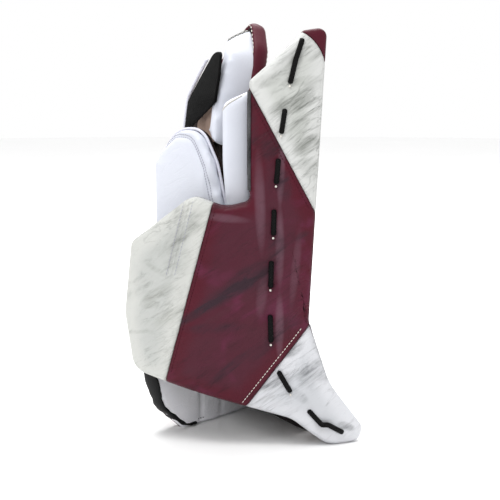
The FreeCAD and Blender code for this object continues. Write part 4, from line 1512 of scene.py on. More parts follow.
def evaluated(piece: bpy.types.Object) -> None:
    """Apply a piece's modifiers to its mesh.

    Args:
        piece: The piece.
    """
    bpy.context.view_layer.update()
    graph = bpy.context.evaluated_depsgraph_get()
    mesh = bpy.data.meshes.new_from_object(piece.evaluated_get(graph))
    old = piece.data
    piece.modifiers.clear()
    piece.data = mesh
    bpy.data.meshes.remove(old)
    mesh.name = piece.name


def even_mesh(name: str, nodes: Sequence[str], voxel: float) -> bpy.types.Object:
    """Evenly meshed copy of CAD nodes.

    Args:
        name: The piece's name.
        nodes: The nodes.
        voxel: Mesh size in millimetres.

    Returns:
        The piece.
    """
    piece = make_object(name, cad_shape(*nodes))
    remesh = piece.modifiers.new("even", "REMESH")
    remesh.mode = "VOXEL"
    remesh.voxel_size = voxel * MM
    evaluated(piece)
    return piece


@dataclass
class Pad:
    """Stuffed or foam piece, swollen from its CAD solid by cloth simulation."""

    name: str
    node: str
    voxel: float = 4.0
    shrink: float = 0.8
    pressure: float = 4.0
    cap: float = 5.0
    smooth: int = 6
    frames: int = 20
    mass: float = 0.3
    stiffness: float = 20.0
    bending: float = 1.5

    def build(self) -> bpy.types.Object:
        """Remesh, shrink, swell and smooth the solid.

        Returns:
            The piece.
        """
        piece = even_mesh(self.name, (self.node,), self.voxel)
        self.ease(piece, self.smooth, self.shrink)
        self.swell(piece)
        with edited(piece) as bm:
            soften(bm)
            bmesh.ops.subdivide_edges(bm, edges=bm.edges[:], cuts=1, use_grid_fill=True, smooth=0.6)
            bmesh.ops.recalc_face_normals(bm, faces=bm.faces[:])
            without_edges(bm)
            for face in bm.faces:
                face.smooth = True
        return piece

    @staticmethod
    def ease(piece: bpy.types.Object, rounds: int, shrink: float) -> None:
        """Round a remeshed solid and draw it in.

        Args:
            piece: The piece.
            rounds: Rounds of smoothing.
            shrink: How far it is drawn in, in millimetres.
        """
        with edited(piece) as bm:
            soften(bm, rounds)
            bm.normal_update()
            for vert in bm.verts:
                vert.co -= vert.normal * shrink * MM

    def swell(self, piece: bpy.types.Object) -> None:
        """Blow the piece up as cloth, capped in how far a point may move.

        Args:
            piece: The piece.
        """
        scene = bpy.context.scene
        rest = np.array([v.co[:] for v in piece.data.vertices])
        cloth = piece.modifiers.new("stuffing", "CLOTH")
        settings = cloth.settings
        settings.quality = 5
        settings.mass = self.mass
        settings.tension_stiffness = self.stiffness
        settings.compression_stiffness = self.stiffness
        settings.bending_stiffness = self.bending
        settings.use_pressure = True
        settings.uniform_pressure_force = self.pressure
        settings.effector_weights.gravity = 0.0
        cloth.point_cache.frame_start = 1
        cloth.point_cache.frame_end = self.frames
        for step in range(1, self.frames + 1):
            scene.frame_set(step)
        evaluated(piece)
        scene.frame_set(1)
        moved = np.array([v.co[:] for v in piece.data.vertices]) - rest
        length = np.linalg.norm(moved, axis=1)
        share = np.minimum(1.0, self.cap * MM / np.maximum(length, 1e-9))
        final = rest + moved * share[:, None]
        piece.data.vertices.foreach_set("co", final.astype(np.float32).ravel())
        piece.data.update()

    @staticmethod
    def tree(piece: bpy.types.Object) -> BVHTree:
        """Search tree of a piece's surface.

        Args:
            piece: The piece.

        Returns:
            The tree.
        """
        bm = bmesh.new()
        bm.from_mesh(piece.data)
        found = BVHTree.FromBMesh(bm)
        bm.free()
        return found


def drape(piece: bpy.types.Object, points: Sequence[Vector], inward: Vector, step: float = 2.5,
          start: float = 60.0) -> Rail:
    """Rail on a piece's surface, from points pushed onto it.

    Args:
        piece: The piece.
        points: Points near the surface, in the working frame.
        inward: Direction of the push.
        step: Distance between the rail's points.
        start: How far outside the points the push begins.

    Returns:
        The rail, without the points that miss.
    """
    tree = Pad.tree(piece)
    ray = inward.normalized()
    found, outs = [], []
    for point in Rail.even(list(points), step):
        origin = Shop.metres(point - ray * start)
        hit, normal, _, _ = tree.ray_cast(origin, ray, 0.3)
        if hit is None:
            continue
        found.append(hit / MM - Shop.SHIFT)
        outs.append(normal)
    return Rail(found, outs)


def softened(name: str, nodes: Sequence[str], width: float = 0.8, segments: int = 3) -> bpy.types.Object:
    """Copy of CAD nodes with rounded edges.

    Args:
        name: The piece's name.
        nodes: The nodes.
        width: Radius of the edges in millimetres.
        segments: Steps of each rounding.

    Returns:
        The piece.
    """
    bm = cad_shape(*nodes)
    bmesh.ops.dissolve_limit(bm, angle_limit=math.radians(1.5), verts=bm.verts[:], edges=bm.edges[:])
    piece = make_object(name, bm)
    bevel = piece.modifiers.new("edges", "BEVEL")
    bevel.width = width * MM
    bevel.segments = segments
    bevel.limit_method = "ANGLE"
    bevel.angle_limit = math.radians(35)
    bevel.use_clamp_overlap = True
    evaluated(piece)
    with edited(piece) as bm:
        bmesh.ops.triangulate(bm, faces=[f for f in bm.faces if len(f.verts) > 4])
        without_edges(bm)
        bmesh.ops.remove_doubles(bm, verts=bm.verts[:], dist=WELD)
    piece.data.shade_smooth()
    piece.data.set_sharp_from_angle(angle=math.radians(50))
    return piece


def cut_below(piece: bpy.types.Object, point: Vector, normal: Vector) -> None:
    """Cut a piece's lower part off and close the cut.

    Args:
        piece: The piece.
        point: A point of the cut, in metres.
        normal: Its normal; it is turned so that the lower part goes.
    """
    down = normal if normal.z < 0 else -normal
    with edited(piece) as bm:
        everything = bm.verts[:] + bm.edges[:] + bm.faces[:]
        made = bmesh.ops.bisect_plane(bm, geom=everything, dist=WELD, plane_co=point, plane_no=down,
                                      clear_outer=True)
        rim = [g for g in made["geom_cut"] if isinstance(g, bmesh.types.BMEdge)]
        bmesh.ops.holes_fill(bm, edges=rim, sides=0)
        bmesh.ops.recalc_face_normals(bm, faces=bm.faces[:])


def remeshed(name: str, nodes: Sequence[str], voxel: float, rounds: int = 4, grow: float = 0.0) -> bpy.types.Object:
    """Evenly meshed, rounded copy of CAD nodes.

    Args:
        name: The piece's name.
        nodes: The nodes.
        voxel: Mesh size in millimetres.
        rounds: Rounds of smoothing.
        grow: How far the surface is moved out afterwards.

    Returns:
        The piece.
    """
    piece = even_mesh(name, nodes, voxel)
    Pad.ease(piece, rounds, -grow)
    layer = piece.data.attributes.new("edge", "FLOAT", "POINT")
    layer.data.foreach_set("value", np.full(len(piece.data.vertices), FAR_FROM_EDGE, np.float32))
    piece.data.shade_smooth()
    return piece


def bend_on(piece: bpy.types.Object, material: bpy.types.Material, nodes: Sequence[str],
            palm_side: Sequence[float], thumb_side: Sequence[float]) -> bpy.types.Object:
    """Give a piece that crosses the break its material, hide the CAD nodes that it replaces and bake its transform.

    Args:
        piece: The piece.
        material: Its material.
        nodes: CAD nodes that it replaces.
        palm_side: Point on the palm's side of the break, in the working frame; not used.
        thumb_side: Point on the thumb's side of the break; not used.

    Returns:
        The piece.
    """
    piece.data.materials.clear()
    piece.data.materials.append(material)
    if nodes:
        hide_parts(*nodes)
    start, end = Shop.metres(Vector(palm_side)), Shop.metres(Vector(thumb_side))
    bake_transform(piece)
    LOG.info("%s: %d faces, bends at the break", piece.name, len(piece.data.polygons))
    return piece


def arc(centre: Point, radius: float, start: float, end: float, count: int = 9) -> tuple:
    """Corners on a circle.

    Args:
        centre: The circle's centre.
        radius: Its radius.
        start: First angle in degrees.
        end: Last angle.
        count: Number of corners.

    Returns:
        S, Z and radius 0 of each corner.
    """
    angles = [math.radians(a) for a in np.linspace(start, end, count)]
    return tuple((centre[0] + radius * math.cos(a), centre[1] + radius * math.sin(a), 0.0) for a in angles)


@dataclass
class PlaneSurface(Surface):
    """Upright plane that pads are drawn on."""

    origin: Vector
    along: Vector
    facing: Vector

    def place(self, s: float, z: float, depth: float) -> Vector:
        """See Surface.place."""
        return self.origin + self.along * s + Vector((0, 0, z)) - self.facing * depth


# ---------------------------------------------------------------------------------------------- sub-assemblies
@dataclass
class ThumbCuff:
    """Wall of the thumb and of the cuff's near wing, with its linings, binding, seam threads and laces."""

    surface: NearSurface
    outline: tuple = (
        (4.0, 352.0, 6.0), (57.0, 399.0, 7.0), (78.0, 402.0, 13.0), (62.0, 124.0, 14.0), (83.0, 62.0, 60.0),
        (118.0, 14.0, 9.0), (113.0, 0.0, 9.0), (82.0, 0.0, 24.0), (45.0, 28.0, 30.0), (-111.0, 71.5, 17.0),
        (-119.8, 128.0, 50.0), (-112.0, 198.0, 10.0), (-52.0, 244.0, 14.0), (-18.0, 233.0, 30.0),
        (4.5, 239.0, 6.0),
    )
    cap_centre: Point = (33.5, 360.0)
    cap_radius: float = 42.4
    cap_ends: tuple = (14.0, 60.2)
    cap_shoulder: Corner = (76.05, 369.5, 0.0)
    thumb_seam: tuple = ((4.0, 346.0), (66.0, 230.0))
    wing_seam: tuple = ((-30.0, 240.0), (-77.0, 66.0))
    heel_seam: tuple = ((60.0, 118.0), (2.0, 42.0))
    leather: float = 18.0
    lace: float = 5.0
    lace_height: float = 3.8
    dimple: Point = (2.0, 6.0)
    wax: float = 1.1
    stitches: tuple = (
        ((53.5, 391.5), (47.0, 371.5), (42.0, 349.5)), ((37.5, 326.5), (34.0, 303.0)), ((31.5, 280.0), (29.5, 256.0)),
        ((27.5, 232.0), (27.0, 207.0)), ((25.0, 183.0), (24.5, 157.0)), ((24.0, 131.0), (25.0, 104.0)),
        ((32.0, 76.0), (44.0, 55.0)), ((61.0, 37.0), (74.0, 22.0), (80.0, 21.5), (96.0, 11.5)),
    )

    def dents(self) -> tuple:
        """Dimples that the laces pull into the leather.

        Returns:
            S, Z, depth and width of each.
        """
        return tuple((s, z, *self.dimple) for stitch in self.stitches for s, z in stitch)

    def panel(self, name: str, corners: tuple, cuts: tuple, **sizes) -> Panel:
        """Panel of the wall's outer side.

        Args:
            name: The panel's name.
            corners: Its outline.
            cuts: Seams that bound it.
            sizes: What differs from the other panels.

        Returns:
            The panel.
        """
        return Panel(name, self.surface, corners, 0.0, self.leather, free=self.outline, cuts=cuts,
                     dents=self.dents(), **sizes)

    def build(self, wardrobe: Wardrobe) -> None:
        """Make the wall.

        Args:
            wardrobe: The finishes.
        """
        curve = arc(self.cap_centre, self.cap_radius, *self.cap_ends)
        cap = ((57.0, 399.0, 5.0), (78.0, 402.0, 13.0), self.cap_shoulder) + curve
        face = (self.outline[0],) + curve[::-1] + (self.cap_shoulder,) + self.outline[3:]
        thumb, wing, heel = self.thumb_seam, self.wing_seam, self.heel_seam
        work = (
            (self.panel("tip_cap", cap, (), rings=(0.3, 0.5, 0.8), puff=0.6, seed=1.0),
             "maroon_clean", "maroon_leather", "thumb_tip_cap"),
            (self.panel("thumb_face", face, (thumb,), puff=1.8, wrinkle=0.9, seed=2.0,
                        grooves=(Groove((71.4, 352.0), (60.4, 160.0), 0.7, 1.1),)),
             "thumb_white", "white_leather", "thumb_face_panel"),
            (self.panel("cuff_main", self.outline, (thumb[::-1], wing, heel[::-1]), puff=2.2, wrinkle=1.1, seed=3.0,
                        grooves=(Groove((13.0, 318.0), (8.0, 120.0), -1.8, 7.0),
                                 Groove((50.0, 236.0), (42.0, 110.0), -1.2, 7.0),
                                 Groove((29.0, 262.0), (26.0, 108.0), 1.0, 5.0),
                                 Groove((-66.0, 112.0), (-6.0, 152.0), 0.9, 3.0),
                                 Groove((-40.0, 118.0), (22.0, 158.0), 0.7, 3.0))),
             "maroon", "maroon_leather", "cuff_main_panel"),
            (self.panel("cuff_wing", self.outline, (wing[::-1],), puff=1.6, wrinkle=1.0, seed=4.0,
                        grooves=(Groove((-55.0, 241.0), (-73.0, 169.5), 1.5, 1.4),
                                 Groove((-51.2, 241.0), (-69.4, 168.5), 1.2, 1.2))),
             "wing_white", "white_leather", "cuff_wing_panel"),
            (self.panel("heel_tip", self.outline, (heel,), puff=1.6, wrinkle=0.6, seed=5.0),
             "heel_white", "white_leather", "heel_tip_panel"),
        )
        sewn = {}
        for panel, finish, slot, node in work:
            sewn[panel.name] = put_on(panel.build(), wardrobe[finish], Body.THUMB, (node,))
        line = ((32.0, 0.0), (32.0, 400.0))
        for name, cut, finish, slot, nodes in (
                ("cuff_lining", line, "dark_fleece", "black_liner", ("thumb_cuff_lining", "thumb_cuff_core")),
                ("pocket_face", line[::-1], "palm_white", "white_leather", ())):
            inner = Panel(name, self.surface, self.outline, self.surface.total, self.leather, free=self.outline,
                          cuts=(cut,), puff=0.5, wrinkle=0.8, grid=5.0, seed=6.0)
            put_on(inner.build(), wardrobe[finish], Body.THUMB, nodes)
        self.trim(wardrobe, sewn)
        self.lacing(wardrobe)

    def trim(self, wardrobe: Wardrobe, sewn: dict) -> None:
        """Binding of the thumb's left edge, and seam threads.

        Args:
            wardrobe: The finishes.
            sewn: The wall's panels by name.
        """
        rail = Rail.on(self.surface, ((4.9, 247.0, 0), (4.7, 345.0, 0)), 11.5)
        binding = Tube("thumb_binding", rail, 5.0, 23.0, round_ends=3.0, sides=16).build()
        put_on(binding, wardrobe["grey_fuzz"], Body.THUMB, ("thumb_edge_binding",))
        threads = (
            ("heel_thread", "cuff_main", ((54.0, 118.0, 0), (-3.0, 44.5, 0)), "thread_white", 0.8),
            ("wing_thread_outer", "cuff_wing", ((-57.4, 240.0, 0), (-75.4, 168.0, 0)), "seam_cord", 0.7),
            ("wing_thread_inner", "cuff_wing", ((-48.8, 240.0, 0), (-67.2, 168.0, 0)), "seam_cord", 0.7),
            ("thumb_thread", "cuff_main", ((8.0, 331.0, 0), (60.0, 233.5, 0)), "thread_maroon", 0.8),
            ("wing_seam_thread", "cuff_main", ((-27.6, 234.0, 0), (-72.0, 72.0, 0)), "thread_maroon", 0.8),
        )
        for name, panel, path, finish, thick in threads:
            line = Rail.on(self.surface, path, 0.0, 2.0)
            rail = drape(sewn[panel], line.points, Vector((0.0, 1.0, 0.0)), 1.8)
            put_on(sew(name, rail, 3.4, 2.6, thick, lift=0.05), wardrobe[finish], Body.THUMB)

    def lacing(self, wardrobe: Wardrobe) -> None:
        """Laces that hold the perimeter, each sunk at both ends.

        Args:
            wardrobe: The finishes.
        """
        bm = bmesh.new()
        for stitch in self.stitches:
            flat = Rail.even([Vector(p) for p in stitch], 1.3)
            gone = (flat[-1] - flat[0]).length
            points, outs = [], []
            for k, p in enumerate(flat):
                near = min(k, len(flat) - 1 - k) * gone / (len(flat) - 1)
                points.append(self.surface.place(p.x, p.y, -1.9 + 3.4 * math.exp(-near / 2.6)))
                outs.append(self.surface.out(p.x, p.y))
            Tube("stitch", Rail(points, outs), self.lace, self.lace_height, round_ends=2.6, sides=14).build(bm)
        put_on(make_object("perimeter_laces", bm), wardrobe["lace_black"], Body.THUMB, ("perimeter_lace",))
        bm = bmesh.new()
        for (*_, (s, z)) in self.stitches[:7]:
            spot = Matrix.Translation(Shop.metres(self.surface.place(s - 0.3, z - 2.2, -0.9)))
            bmesh.ops.create_uvsphere(bm, u_segments=10, v_segments=6, radius=self.wax * MM, matrix=spot)
        bm.loops.layers.uv.new("cord")
        put_on(make_object("lace_wax", bm), wardrobe["thread_white"], Body.THUMB)


def stretch(piece: bpy.types.Object, direction: Vector, low: float, high: float, reach: float) -> None:
    """Draw a pad out on one side.

    Args:
        piece: The pad.
        direction: Where it is drawn to.
        low: Place along the direction where the stretch begins.
        high: Place where it is full.
        reach: Full stretch in millimetres.
    """
    for vert in piece.data.vertices:
        along = (vert.co / MM - Shop.SHIFT).dot(direction)
        share = min(max((along - low) / (high - low), 0.0), 1.0)
        vert.co += direction * (reach * share * share * (3 - 2 * share) * MM)
    piece.data.update()


@dataclass
class HandSide:
    """What the hand touches behind the thumb: the padded roll and the thumb's stall."""

    def build(self, wardrobe: Wardrobe) -> None:
        """Make the pieces.

        Args:
            wardrobe: The finishes.
        """
        roll = Pad("thumb_roll", "thumb_back_roll", voxel=3.5, shrink=0.4).build()
        stretch(roll, Vector((1, 0, 0)), -20.0, 2.0, 7.0)
        put_on(roll, wardrobe["clean_white"], Body.THUMB, ("thumb_back_roll",))
        push = Vector((0.25, 1.0, 0.0))
        seam = [Vector((-26, 6, 322)), Vector((-16, 6, 331)), Vector((-4, 6, 338))]
        rail = drape(roll, seam, push)
        put_on(Tube("roll_seam", rail, 1.6, 1.4, sides=8).build(), wardrobe["thread_white"], Body.THUMB)
        stall = softened("thumb_pocket", ("thumb_stall",), 1.2)
        put_on(stall, wardrobe["dark_fleece"], Body.THUMB, ("thumb_stall",))


@dataclass
class WristGuard:
    """Hinged oval pad over the wrist."""

    origin: Vector = field(default_factory=lambda: Vector((-54.0, 50.0, 0.0)))
    along: Vector = field(default_factory=lambda: Vector((0.8354, -0.5496, 0.0)))
    thick: float = 18.0
    groove: Point = (1.9, 2.4)
    back_gap: float = 1.4
    seam_centre: Point = (-6.0, 226.0)
    outline: tuple = (
        (-39.0, 198.0, 6.0), (42.0, 198.0, 8.0), (43.0, 228.0, 20.0), (32.0, 272.0, 50.0), (14.0, 306.0, 22.0),
        (-16.0, 304.0, 26.0), (-39.0, 274.0, 30.0),
    )
    seam: tuple = (
        (-27.0, 287.0, 0.0), (-13.0, 298.5, 14.0), (7.0, 298.0, 16.0), (22.5, 268.0, 44.0), (33.0, 228.0, 20.0),
        (34.0, 199.5, 0.0),
    )

    def press(self, pad: bpy.types.Object, plane: PlaneSurface) -> None:
        """Press the seam's groove into the pad's outer face.

        Args:
            pad: The pad.
            plane: The guard's plane.
        """
        line = Rail.even(Rail.flat_points(self.seam, False), 2.0)
        depth, width = self.groove
        start = np.array([p[:2] for p in line[:-1]])
        end = np.array([p[:2] for p in line[1:]])
        for vert in pad.data.vertices:
            point = vert.co / MM - Shop.SHIFT - plane.origin
            out = point.dot(plane.facing)
            vert.co += plane.facing * max(0.0, 1.0 - self.thick / 2 + self.back_gap - out) * MM
            if out < 2.0:
                continue
            gap = segment_distance(np.array([[point.dot(plane.along), point.z]]), start, end)[0]
            vert.co -= plane.facing * (depth * math.exp(-(gap / width) ** 2) * MM)
        pad.data.update()

    def build(self, wardrobe: Wardrobe) -> None:
        """Make the guard.

        Args:
            wardrobe: The finishes.
        """
        facing = Vector((self.along.y, -self.along.x, 0.0))
        plane = PlaneSurface(self.origin, self.along, facing)
        pad = Pad("guard_pad", "wrist_guard_pad", voxel=4.0, shrink=0.6, cap=4.0).build()
        stretch(pad, -self.along, 20.0 - self.origin.dot(self.along), 60.0 - self.origin.dot(self.along), 5.0)
        self.press(pad, plane)
        put_on(pad, wardrobe["clean_white"], Body.GUARD, ("wrist_guard_pad",))
        back = softened("guard_back", ("wrist_guard_lining",), 0.6)
        put_on(back, wardrobe["dark_fleece"], Body.GUARD, ("wrist_guard_lining",))
        edge = Rail.on(plane, self.outline[1:] + self.outline[:1], 1.0)
        put_on(Tube("guard_piping", edge, 3.0, 3.0, lift=0.0).build(), wardrobe["white_piping"], Body.GUARD,
               ("wrist_guard_piping",))
        for name, inset in (("guard_seam_outer", -1.3), ("guard_seam_inner", 1.3)):
            path = []
            for p in Rail.even(Rail.flat_points(self.seam, False), 3.0):
                centre = Vector(self.seam_centre)
                moved = p + (centre - p).normalized() * inset
                path.append(plane.place(moved.x, moved.y, -self.thick / 2))
            rail = drape(pad, path, -facing)
            put_on(sew(name, rail, 2.6, 2.3, 0.9, lift=0.1), wardrobe["seam_cord"], Body.GUARD)


@dataclass
class PalmWall:
    """Palm and fingers: leather, lining, rolled edge, its stitches and the finger laces."""

    surface: PalmSurface
    low: tuple = (
        (11.5, 0.0, 0.0), (146.0, 0.0, 12.0), (146.0, 190.0, 20.0), (149.0, 236.0, 0.0), (14.0, 236.0, 0.0),
        (10.0, 224.0, 8.0), (-5.0, 224.0, 0.0), (-5.0, 90.0, 0.0), (-3.5, 60.0, 0.0), (3.0, 28.0, 0.0),
    )
    high: tuple = (
        (19.0, 236.0, 0.0), (149.0, 236.0, 0.0), (164.0, 296.0, 24.0), (162.0, 325.0, 18.0),
        (105.0, 380.0, 36.0), (73.0, 404.0, 9.0), (54.0, 380.0, 16.0), (46.0, 340.0, 40.0), (42.0, 266.0, 16.0),
    )
    roll: tuple = (
        (14.0, 228.0, 0.0), (41.0, 264.5, 17.0), (45.0, 340.0, 40.0), (53.0, 380.0, 16.0), (73.0, 405.5, 9.0),
        (105.0, 381.0, 38.0), (163.0, 326.0, 19.0), (165.0, 296.0, 22.0), (147.5, 232.0, 0.0),
    )
    middle: float = 7.5

    def build(self, wardrobe: Wardrobe) -> None:
        """Make the wall.

        Args:
            wardrobe: The finishes.
        """
        side = ((112.0, 0.0), (118.0, 236.0))
        top = ((168.0, 306.0), (30.0, 372.0))
        fingers = (Groove((74.0, 400.0), (62.0, 236.0)), Groove((104.0, 384.0), (90.0, 236.0)),
                   Groove((134.0, 352.0), (118.0, 236.0)))
        creases = (Groove((0.0, 170.0), (112.0, 196.0), 1.2, 2.2), Groove((10.0, 112.0), (112.0, 128.0), 1.0, 2.4))
        work = (
            ("palm_centre", self.low, (side,), "palm_white", "white_leather", ("palm_leather", "palm_core"), creases),
            ("palm_side", self.low, (side[::-1],), "maroon_clean", "maroon_leather", (), ()),
            ("finger_front", self.high, (top,), "palm_white", "white_leather", ("finger_leather", "finger_core"),
             fingers),
            ("finger_tips", self.high, (top[::-1],), "maroon_clean", "maroon_leather", (), fingers),
        )
        for name, corners, cuts, finish, slot, nodes, grooves in work:
            panel = Panel(name, self.surface, corners, 0.0, self.middle, free=corners, cuts=cuts, grooves=grooves,
                          puff=1.8, wrinkle=1.0, grid=4.0, edge_radius=3.0, seed=len(name) * 1.3)
            put_on(panel.build(), wardrobe[finish], Body.PALM, nodes)
        for name, corners, node in (("palm_lining_cloth", self.low, "palm_lining"),
                                    ("finger_lining_cloth", self.high, "finger_lining")):
            panel = Panel(name, self.surface, corners, self.surface.total, self.middle, puff=0.8, wrinkle=1.0,
                          grid=5.0, edge_radius=3.0, seed=3.3)
            put_on(panel.build(), wardrobe["dark_fleece"], Body.PALM, (node,))
        rail = Rail.on(self.surface, self.roll, self.middle)
        roll = Tube("finger_roll", rail, 7.6, 16.0, sides=16).build()
        put_on(roll, wardrobe["maroon_clean"], Body.PALM, ("finger_edge_roll",))
        self.rows(wardrobe)

    def rows(self, wardrobe: Wardrobe) -> None:
        """Running stitches on the roll and laces of the finger panels.

        Args:
            wardrobe: The finishes.
        """
        for name, depth in (("roll_stitches", -0.9), ("roll_stitches_back", 15.9)):
            rail = Rail.on(self.surface, self.roll, depth, 2.0)
            put_on(sew(name, rail, 5.2, 3.2, 1.0, lift=0.0), wardrobe["thread_white"], Body.PALM)
        bm = bmesh.new()
        for s, z, ds, dz in ((52, 268, 1, 18), (54, 300, 1, 20), (56, 334, 2, 20), (64, 366, 6, 16), (88, 386, 14, -9),
                             (118, 362, 14, -12), (144, 338, 12, -12), (155, 306, 0, -18), (150, 270, -3, -18)):
            rail = Rail.on(self.surface, ((s, z, 0), (s + ds, z + dz, 0)), -1.8, 2.0)
            Tube("stitch", rail, 5.0, 3.6, round_ends=2.6).build(bm)
        put_on(make_object("finger_laces", bm), wardrobe["lace_black"], Body.PALM)


@dataclass
class HandPockets:
    """Back of the fingers: side pad, mesh panel, and finger stalls."""

    surface: PalmSurface

    def build(self, wardrobe: Wardrobe) -> None:
        """Make the pieces.

        Args:
            wardrobe: The finishes.
        """
        pad = Pad("index_pad", "index_side_pad", voxel=4.0, shrink=0.5).build()
        forward = self.surface.forward
        base = self.surface.break_point.dot(forward)
        stretch(pad, forward, base - 42.0, base - 8.0, 10.0)
        put_on(pad, wardrobe["clean_white"], Body.PALM, ("index_side_pad",))
        path = [Vector((4.0, 84.0, 404)), Vector((-8.0, 78.0, 400)), Vector((-24.0, 70.0, 392))]
        rail = drape(pad, path, Vector((0.0, 0.25, -1.0)))
        if len(rail.points) > 3:
            put_on(Tube("index_lace_edge", rail, 4.0, 3.0, sides=10, round_ends=2).build(), wardrobe["speckled_lace"],
                   Body.PALM)
        panel = softened("backhand_mesh", ("backhand_panel",), 0.9)
        low, high = (Shop.metres(self.surface.place(s, z, 50.0)) for s, z in ((44.0, 324.0), (108.0, 292.0)))
        cut_below(panel, low, (high - low).cross(self.surface.forward).normalized())
        put_on(panel, wardrobe["black_mesh"], Body.PALM, ("backhand_panel",))
        rail = Rail.on(self.surface, ((79.0, 361.5, 0.0), (107.5, 327.0, 14.0), (107.5, 296.0, 0.0)), 50.5)
        put_on(Tube("backhand_edge", rail, 3.2, 3.6).build(), wardrobe["white_piping"], Body.PALM,
               ("backhand_piping",))
        for name, node, finish, slot in (("index_pocket", "index_stall", "beige_knit", "beige_liner"),
                                         ("middle_pocket", "middle_stall", "beige_knit", "beige_liner"),
                                         ("outer_pocket", "ring_little_stall", "dark_fleece", "black_liner")):
            put_on(softened(name, (node,), 1.4), wardrobe[finish], Body.PALM, (node,))


@dataclass
class FarWing:
    """Far wing of the cuff with its binding and the band over the wrist's back."""

    surface: WingSurface
    outline: tuple = (
        (-103.0, 190.0, 0.0), (-103.0, 62.0, 24.0), (-93.0, 24.0, 22.0), (-71.3, 0.0, 0.0), (9.0, 0.0, 0.0),
        (-9.0, 30.0, 0.0), (-24.0, 60.0, 0.0), (-33.0, 90.0, 0.0), (-39.0, 120.0, 0.0), (-42.0, 190.0, 0.0),
    )
    middle: float = 7.0

    def build(self, wardrobe: Wardrobe) -> None:
        """Make the wing.

        Args:
            wardrobe: The finishes.
        """
        corners = self.outline[::-1]
        out = Panel("far_wing_outside", self.surface, corners, 0.0, self.middle, puff=1.6, wrinkle=0.9, grid=4.0,
                    seed=7.0, grooves=(Groove((-60.0, 4.0), (-70.0, 186.0)),))
        put_on(out.build(), wardrobe["maroon_clean"], Body.PALM,
               ("far_wing_leather", "far_wing_core"))
        seams = (Groove((-56.0, 0.0), (-70.0, 186.0), 1.8, 2.0), Groove((-36.0, 0.0), (-50.0, 186.0), 1.6, 2.0))
        inside = Panel("far_wing_inside", self.surface, corners, self.surface.total, self.middle, puff=3.0,
                       wrinkle=1.2, grid=4.0, seed=8.0, grooves=seams)
        put_on(inside.build(), wardrobe["wing_inner"], Body.PALM, ("far_wing_lining",))
        path = ((-102.0, 189.0, 0.0), (-102.0, 62.0, 23.0), (-92.0, 25.0, 21.0), (-70.0, 2.6, 8.0), (-58.0, 2.6, 0.0))
        rail = Rail.on(self.surface, path, self.middle)
        bound = Tube("far_wing_edge", rail, 5.2, 17.0, sides=16, round_ends=3.0, lumps=0.35).build()
        put_on(bound, wardrobe["black_leather"], Body.PALM, ("far_wing_binding",))
        rail = Rail.on(self.surface, tuple((s + 5.2, z + (3.0 if z < 60 else 0.0), r) for s, z, r in path), 14.0, 2.0)
        put_on(sew("far_wing_stitches", rail, 4.0, 2.6, 0.9, lift=0.0), wardrobe["thread_black"], Body.PALM)
        band = softened("wrist_band", ("wrist_back_band",), 1.0)
        put_on(band, wardrobe["strap_weave"], Body.PALM, ("wrist_back_band",))


@dataclass
class Strap:
    """Wrist strap with its ring, patches and loose end."""

    def build(self, wardrobe: Wardrobe) -> None:
        """Make the pieces.

        Args:
            wardrobe: The finishes.
        """
        for name, node, finish, slot, body, edge in (
                ("strap_band", "wrist_strap", "strap_weave", "webbing", Body.PALM, 0.7),
                ("strap_loops", "strap_loop_patch", "loop_pile", "hook_and_loop", Body.PALM, 0.4),
                ("strap_buckle_ring", "strap_ring", "ring_plastic", "ring_plastic", Body.PALM, 1.4),
                ("strap_ring_tab", "ring_tab", "strap_weave", "webbing", Body.PALM, 0.6),
                ("strap_end", "strap_tail", "strap_weave", "webbing", Body.TAIL, 0.7),
                ("strap_hooks", "strap_hook_patch", "loop_pile", "hook_and_loop", Body.TAIL, 0.4)):
            put_on(softened(name, (node,), edge), wardrobe[finish], body, (node,))


